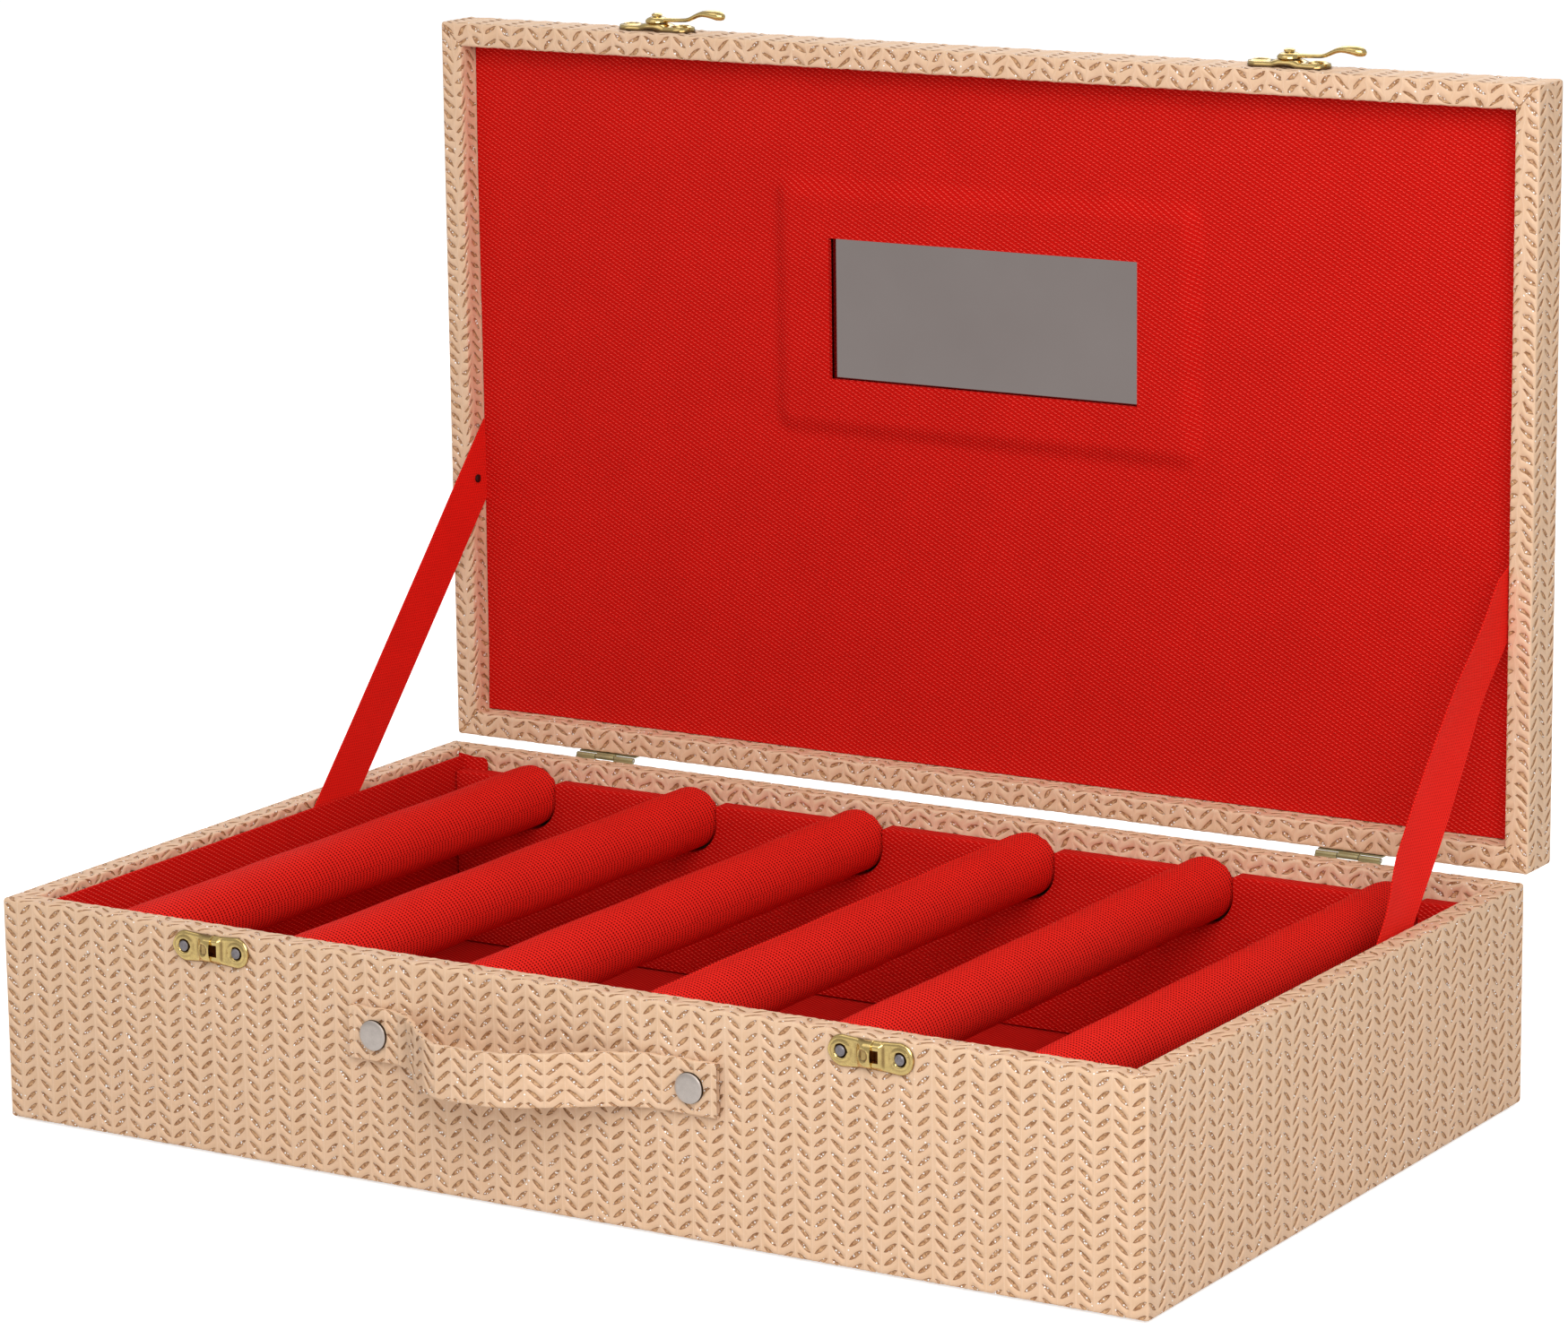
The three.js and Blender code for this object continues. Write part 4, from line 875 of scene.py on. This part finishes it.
# Mirror. A plain sheet of silvered glass, slightly hazy, that lies on the lid's board and is
# held by the panel over its edges.
silver, tree, shader = surface("mirror silver", "8b8480", 0.04, Metallic=1.0)
haze = noise(tree, put(tree, "ShaderNodeTexCoord").outputs["Object"], 18, 4)
tree.links.new(mixed(tree, haze, "827875", "908784"), shader.inputs["Base Color"])
tree.links.new(ranged(tree, haze, i3=0.03, i4=0.12), shader.inputs["Roughness"])
softened("mirror_glass", "mirror", "lid", silver, 0.0003, 5)


# Catch plates on the tray's front. Thin pressed brass with round ends and sunk nail seats, and a
# hood with an open mouth over a slot, where the hook goes in; the slot is drawn as a low floor, painted dark as the
# shade of the hole.
# The brass's dark 6a4428 is painted shade, laid by the plates' deep attribute.
brass = uneven("yellow brass", "d4b878", 0.16, 450, 3500, 0.45, 0.00001, "6a4428", 1.0)
nail_steel = uneven("dull nail steel", "8a8487", 0.42, 900, 5000, 0.6, 0.00001, metal=1.0)
plate_half, plate_end, seat_place = 0.01475, 0.005, 0.0102


def half_width(u):
    """Half the plate's width at a place along it: round ends and a slight waist."""
    past = np.maximum(np.abs(u) - plate_half + plate_end, 0)
    waist = 0.0005 * (1 - np.minimum(np.abs(u) / (plate_half - plate_end), 1) ** 2)
    return np.sqrt(np.maximum(plate_end ** 2 - past ** 2, 1e-8)) - waist


def pressed(u, w, skirt=0.0005):
    """The plate's height at a place: a rolled edge and a sunk seat with a lip round each nail."""
    seat = np.hypot(np.abs(u) - seat_place, w)
    lip = 0.0005 * np.exp(-((seat - 0.0027) / 0.0005) ** 2) - 0.0005 * (1 - smooth_step((seat - 0.0018) / 0.0005))
    return 0.0004 + skirt * smooth_step((half_width(u) - np.abs(w)) / 0.0008) + lip


def in_slot(u, w):
    """Whether a place lies over the catch's slot."""
    return (u > 0.0011) * (u < 0.0034) * (np.abs(w) < 0.0019)


def catch_relief(u, w):
    """The catch's height: a half-round hood with a small dish, open at the slot, which has a cheek on either side."""
    hood = 0.0024 * smooth_step((u + 0.0052) / 0.0036) * np.sqrt(np.clip(1 - (w / 0.0042) ** 2, 0, 1))
    cheek = 0.0013 * smooth_step((0.0048 - u) / 0.0014) * smooth_step((0.0042 - np.abs(w)) / 0.0012)
    dish = 0.0008 * (1 - smooth_step((np.hypot(u + 0.0018, w) - 0.0016) / 0.0006))
    return np.where(in_slot(u, w), 0.0001, pressed(u, w) + np.where(u < 0.0011, hood - dish, cheek))


def latch_relief(u, w):
    """The latch plate's height, with its round boss."""
    return pressed(u, w, 0.0011) + 0.0008 * smooth_step((0.0066 - np.hypot(u, w)) / 0.0024)


def plate(name, node, relief, place, body, opening=Matrix()):
    """A pressed plate on a front wall, drawn about its middle with X along it and -Y out of it."""
    along = [plate_half * np.sin(np.linspace(-1, 1, 55) * math.pi / 2), np.linspace(-0.0056, 0.0056, 29),
             [0.00107, 0.00112, 0.00338, 0.00342]]
    sides = np.append(np.linspace(-1, 1, 25), [-0.425, -0.41, 0.41, 0.425])
    mesh = card(name, np.unique(np.concatenate(along)), np.unique(sides),
                lambda u, v: -relief(u, v * half_width(u)), 0.00035, (0, 0, 0, 0), brass)
    points = points_of(mesh)
    points[:, 2] *= half_width(points[:, 0])
    set_points(mesh, points)
    u, w = points[:, 0], points[:, 2]
    # The deep attribute is painted shade: dark round each nail head in its seat, and in the hollows of the relief.
    ring = np.abs(np.hypot(np.abs(u) - seat_place, w) - 0.0018)
    hollow = sum(relief(u + a, w + b) for a in (-0.0006, 0, 0.0006) for b in (-0.0006, 0, 0.0006)) / 9 - relief(u, w)
    painted_shade = np.maximum(0.9 * (1 - smooth_step(ring / 0.0005)), np.clip(hollow * 3500, 0, 0.8))
    # On a catch, the slot's low floor is painted dark as the shade of the hole, and the hood's dish a little darker as
    # shade.
    if body == "tray":
        painted_shade = np.where((u > 0.0004) * (u < 0.004), in_slot(u, w) * 1.0, painted_shade)
        painted_shade = np.maximum(painted_shade, 0.4 - 0.4 * smooth_step((np.hypot(u + 0.0018, w) - 0.0015) / 0.0006))
    mesh.attributes.new("deep", "FLOAT", "POINT").data.foreach_set("value", painted_shade)
    mesh.transform(opening @ Matrix.Translation(place))
    return finished(mesh, name, body, [node], 60)


nail_head = turned_part([(0, -0.0004), (0.0014, -0.0004), (0.0017, -0.0001), (0.0017, 0.0002), (0.0013, 0.00045),
                         (0.0011, 0.0004), (0.0007, 0.0005), (0, 0.00055)], 20)
for side in ("left", "right"):
    node = f"catch_plate_{side}"
    plate(f"catch_{side}", node, catch_relief, face_of(node, 1, 1), "tray")
nails, nail_sunk = [f"catch_nail_{number}" for number in range(1, 5)], 0.0006
places = [face_of(node, 1, 0) + Vector((0, nail_sunk, 0)) for node in nails]
fixings("catch_nail_heads", nail_head, places, forward, nail_steel, "tray", nails)


# Latches on the lid's front. A pressed brass plate with a raised boss and a riveted stud, two
# nails, and a hook that swings on the stud: a domed ring, a thin arm and a drop-shaped knob.
def swept(stations, around):
    """A closed bar along X through stations of place, height, half its width and half its thickness."""
    angles = np.arange(around) / around * 2 * math.pi
    rings = [(x, wide * math.cos(a), height + thick * math.sin(a))
             for x, height, wide, thick in stations for a in angles]
    count = len(stations)
    faces = [[i * around + j, (i + 1) * around + j, (i + 1) * around + (j + 1) % around,
              i * around + (j + 1) % around] for i in range(count - 1) for j in range(around)]
    faces += [list(range(around)), list(range(count * around - 1, (count - 1) * around - 1, -1))]
    return drawn("bar", [[value / 1000 for value in corner] for corner in rings], faces)


arm = swept([(2.2, 1.1, 1.5, .7), (4, 1.15, 1.4, .75), (8, 1.25, 1.25, .7), (11.5, 1.4, 1.2, .7),
             (13.2, 1.8, 1.3, .75), (15, 2.6, 1.4, .85), (16.8, 3.4, 1.6, .9), (18.6, 3.9, 2, 1.05),
             (20.6, 4, 2.3, 1.25), (22.6, 3.9, 2.5, 1.5), (24.6, 3.6, 2.4, 1.7), (26, 3.4, 1.9, 1.5),
             (27, 3.25, 1.2, 1.1), (27.5, 3.2, .5, .5)], 16)
collar = turned_part([(.0015, .0001), (.0037, 0), (.0041, .0004), (.0040, .001), (.0034, .0016), (.0024, .0021),
                      (.0015, .0021), (.0015, .0001)], 32)
stud = turned_part([(0, .0021), (.0011, .0021), (.0011, .0047), (.0018, .0048), (.0019, .0053), (.0014, .0057),
                    (0, .0058)], 24)
studs, hook_off = [], Vector((0, 0, 0.0024))
for side in ("left", "right"):
    node = f"latch_plate_{side}"
    studs.append(face_of(node, 2, 0))
    middle = Vector((studs[-1].x, wall_front - glue, studs[-1].y - opened[1][3]))
    plate(f"latch_{side}", node, latch_relief, middle, "lid", opened)
    shape = shape_of(arm)
    shape.from_mesh(collar.data)
    hook = mesh_of(shape, "hook")
    hook.materials.append(brass)
    hook.transform(Matrix.Translation(studs[-1] + hook_off))
    finished(hook, f"hook_{side}", f"hook_{side}", [f"swing_hook_{side}"], 50)
fixings("latch_studs", stud, studs, (0, 0, 0), brass, "lid", [])
nails = [f"latch_nail_{number}" for number in range(1, 5)]
places = [face_of(node, 2, 1) - Vector((0, 0, nail_sunk)) for node in nails]
fixings("latch_nail_heads", nail_head, places, (0, 0, 0), nail_steel, "lid", nails)


# Hinges on the back. Two small butt hinges of dulled brass, nailed to the tray's and the lid's
# back walls.
dulled = uneven("dulled brass", "a89e74", 0.5, 250, 3000, 0.4, 0.00001, metal=0.7)
barrel, slimmer = 0.00118, 0.15
for side in ("left", "right"):
    axis = sum(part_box(f"hinge_pin_{side}"), Vector()) / 2
    for part, name, body in (("tray", "lower", "tray"), ("lid", "upper", "lid")):
        leaf = softened(f"hinge_{part}_leaf_{side}", f"hinge_{name}_{side}", body, dulled, 0.00015)
        points = points_of(leaf.data)
        off = points[:, 1:] - np.array(axis)[1:]
        points[:, 1:] -= off * (slimmer * (np.hypot(*off.T) < barrel))[:, None]
        set_points(leaf.data, points)
    coat(steel, f"hinge_pin_{side}")
hinge_nail = turned_part([(0, -0.0002), (0.0012, -0.0002), (0.0013, 0.0), (0.0009, 0.00025), (0, 0.0003)], 14)
nail_in, nail_up, nail_aside = 0.0005, 0.0045, Vector((0.0075, 0, 0))
for body, turn in (("tray", (-math.pi / 2, 0, 0)), ("lid", (math.pi, 0, 0))):
    places = []
    for side in ("left", "right"):
        low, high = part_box(f"hinge_{body}_leaf_{side}")
        face = (low + high) / 2
        face.yz = (low.y + nail_in, low.z + nail_up) if body == "tray" else (high.y - nail_up, high.z - nail_in)
        places += [face - nail_aside, face + nail_aside]
    fixings(f"hinge_nails_{body}", hinge_nail, places, turn, nail_steel, body, [])


# Stay ribbons. Two bright red woven tapes, glued behind the side cards and tacked inside the
# lid's sides with a small dark nail; they stop the lid just past upright.
# The tape's darker dashes are painted shade in the pits of its weave.
ribbon_red = red_cloth("ribbon weave", "ec261d", "b8100a", 0.55, 0.0001, Count=850, Rows=1.5, Shift=0.5, Lean=0.7,
                       Long=0.42, Wide=0.22)
foot, tack = np.array([0.027, 0.050]), np.array(sum(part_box("ribbon_nail_left"), Vector()) / 2)[1:]
way = (tack - foot) / np.linalg.norm(tack - foot)
tape_wide, tape_thick, wall_side, past_tack, folds = 0.0195, 0.0004, 0.201, 0.0087, (0.028, 0.150)
for side, name, shift, extra, bow in ((-1, "left", -0.003, 0.019, 0.0002), (1, "right", 0.004, 0.014, 0.0025)):
    steps, across, tape_long = 60, 8, np.linalg.norm(tack - foot) + extra
    share, over = np.meshgrid(np.linspace(0, 1, steps + 1), np.linspace(-0.5, 0.5, across + 1), indexing="ij")
    along = foot + (share * tape_long)[..., None] * way + ((1 - share) * shift)[..., None] * np.array([1, 0])
    spot = along + (over * tape_wide)[..., None] * np.array([-way[1], way[0]])
    free = smooth_step((share - 0.17) / 0.15) * smooth_step((0.86 - share) / 0.2)
    cup = free * (bow * (0.7 + share / 2) * (1 - over ** 2) + (1 + side) * 0.0017 * over * np.sin(share * 5 - 0.4))
    x = side * (wall_side - cup)
    inner = np.stack([x - side * tape_thick / 2, spot[..., 0], spot[..., 1]], -1).reshape(-1, 3)
    outer = inner + (side * tape_thick, 0, 0)
    flat = np.stack([share * tape_long, over * tape_wide, 0 * share], -1).reshape(-1, 3)
    cells = [[corner, corner + 1, corner + across + 2, corner + across + 1][::side]
             for i in range(steps) for corner in range(i * (across + 1), i * (across + 1) + across)]
    tape = two_faced("tape", inner, outer, cells)
    set_points(tape, np.concatenate([flat, flat]), "lay")
    at_panel, slanted = ((0, 0.1386, 0), (0, 1, 0), True), ((0, 0.1235, 0.1735), (0, -0.39, 0.92), True)
    cut_sheet(tape, [at_panel, slanted] if side > 0 else [at_panel], closed=True)
    tape.materials.append(ribbon_red)
    ribbon = finished(tape, f"ribbon_{name}", None, [f"stay_ribbon_{name}"], 60)
    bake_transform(ribbon)

dark = uneven("dark tack", "4a4040", 0.45, 900, 5000, 0.5, metal=1.0)
tack_head = turned_part([(0, -0.0006), (0.0012, -0.0006), (0.0015, -0.0003), (0.0015, 0.0), (0.001, 0.0003),
                         (0, 0.0004)], 14)
for side, name, turn in ((0, "left", math.pi / 2), (1, "right", -math.pi / 2)):
    node = f"ribbon_nail_{name}"
    place = face_of(node, 0, 1 - side) + Vector((-0.0003 if side == 0 else 0.0003, 0, 0))
    fixings(f"ribbon_tack_{name}", tack_head, [place], (0, turn, 0), dark, "lid", [node])


# The single leaves and small parts that were laid out above go.
for part in (leaves, strap_leaves, rivet, nail_head, collar, stud, hinge_nail, tack_head):
    bpy.data.objects.remove(part)
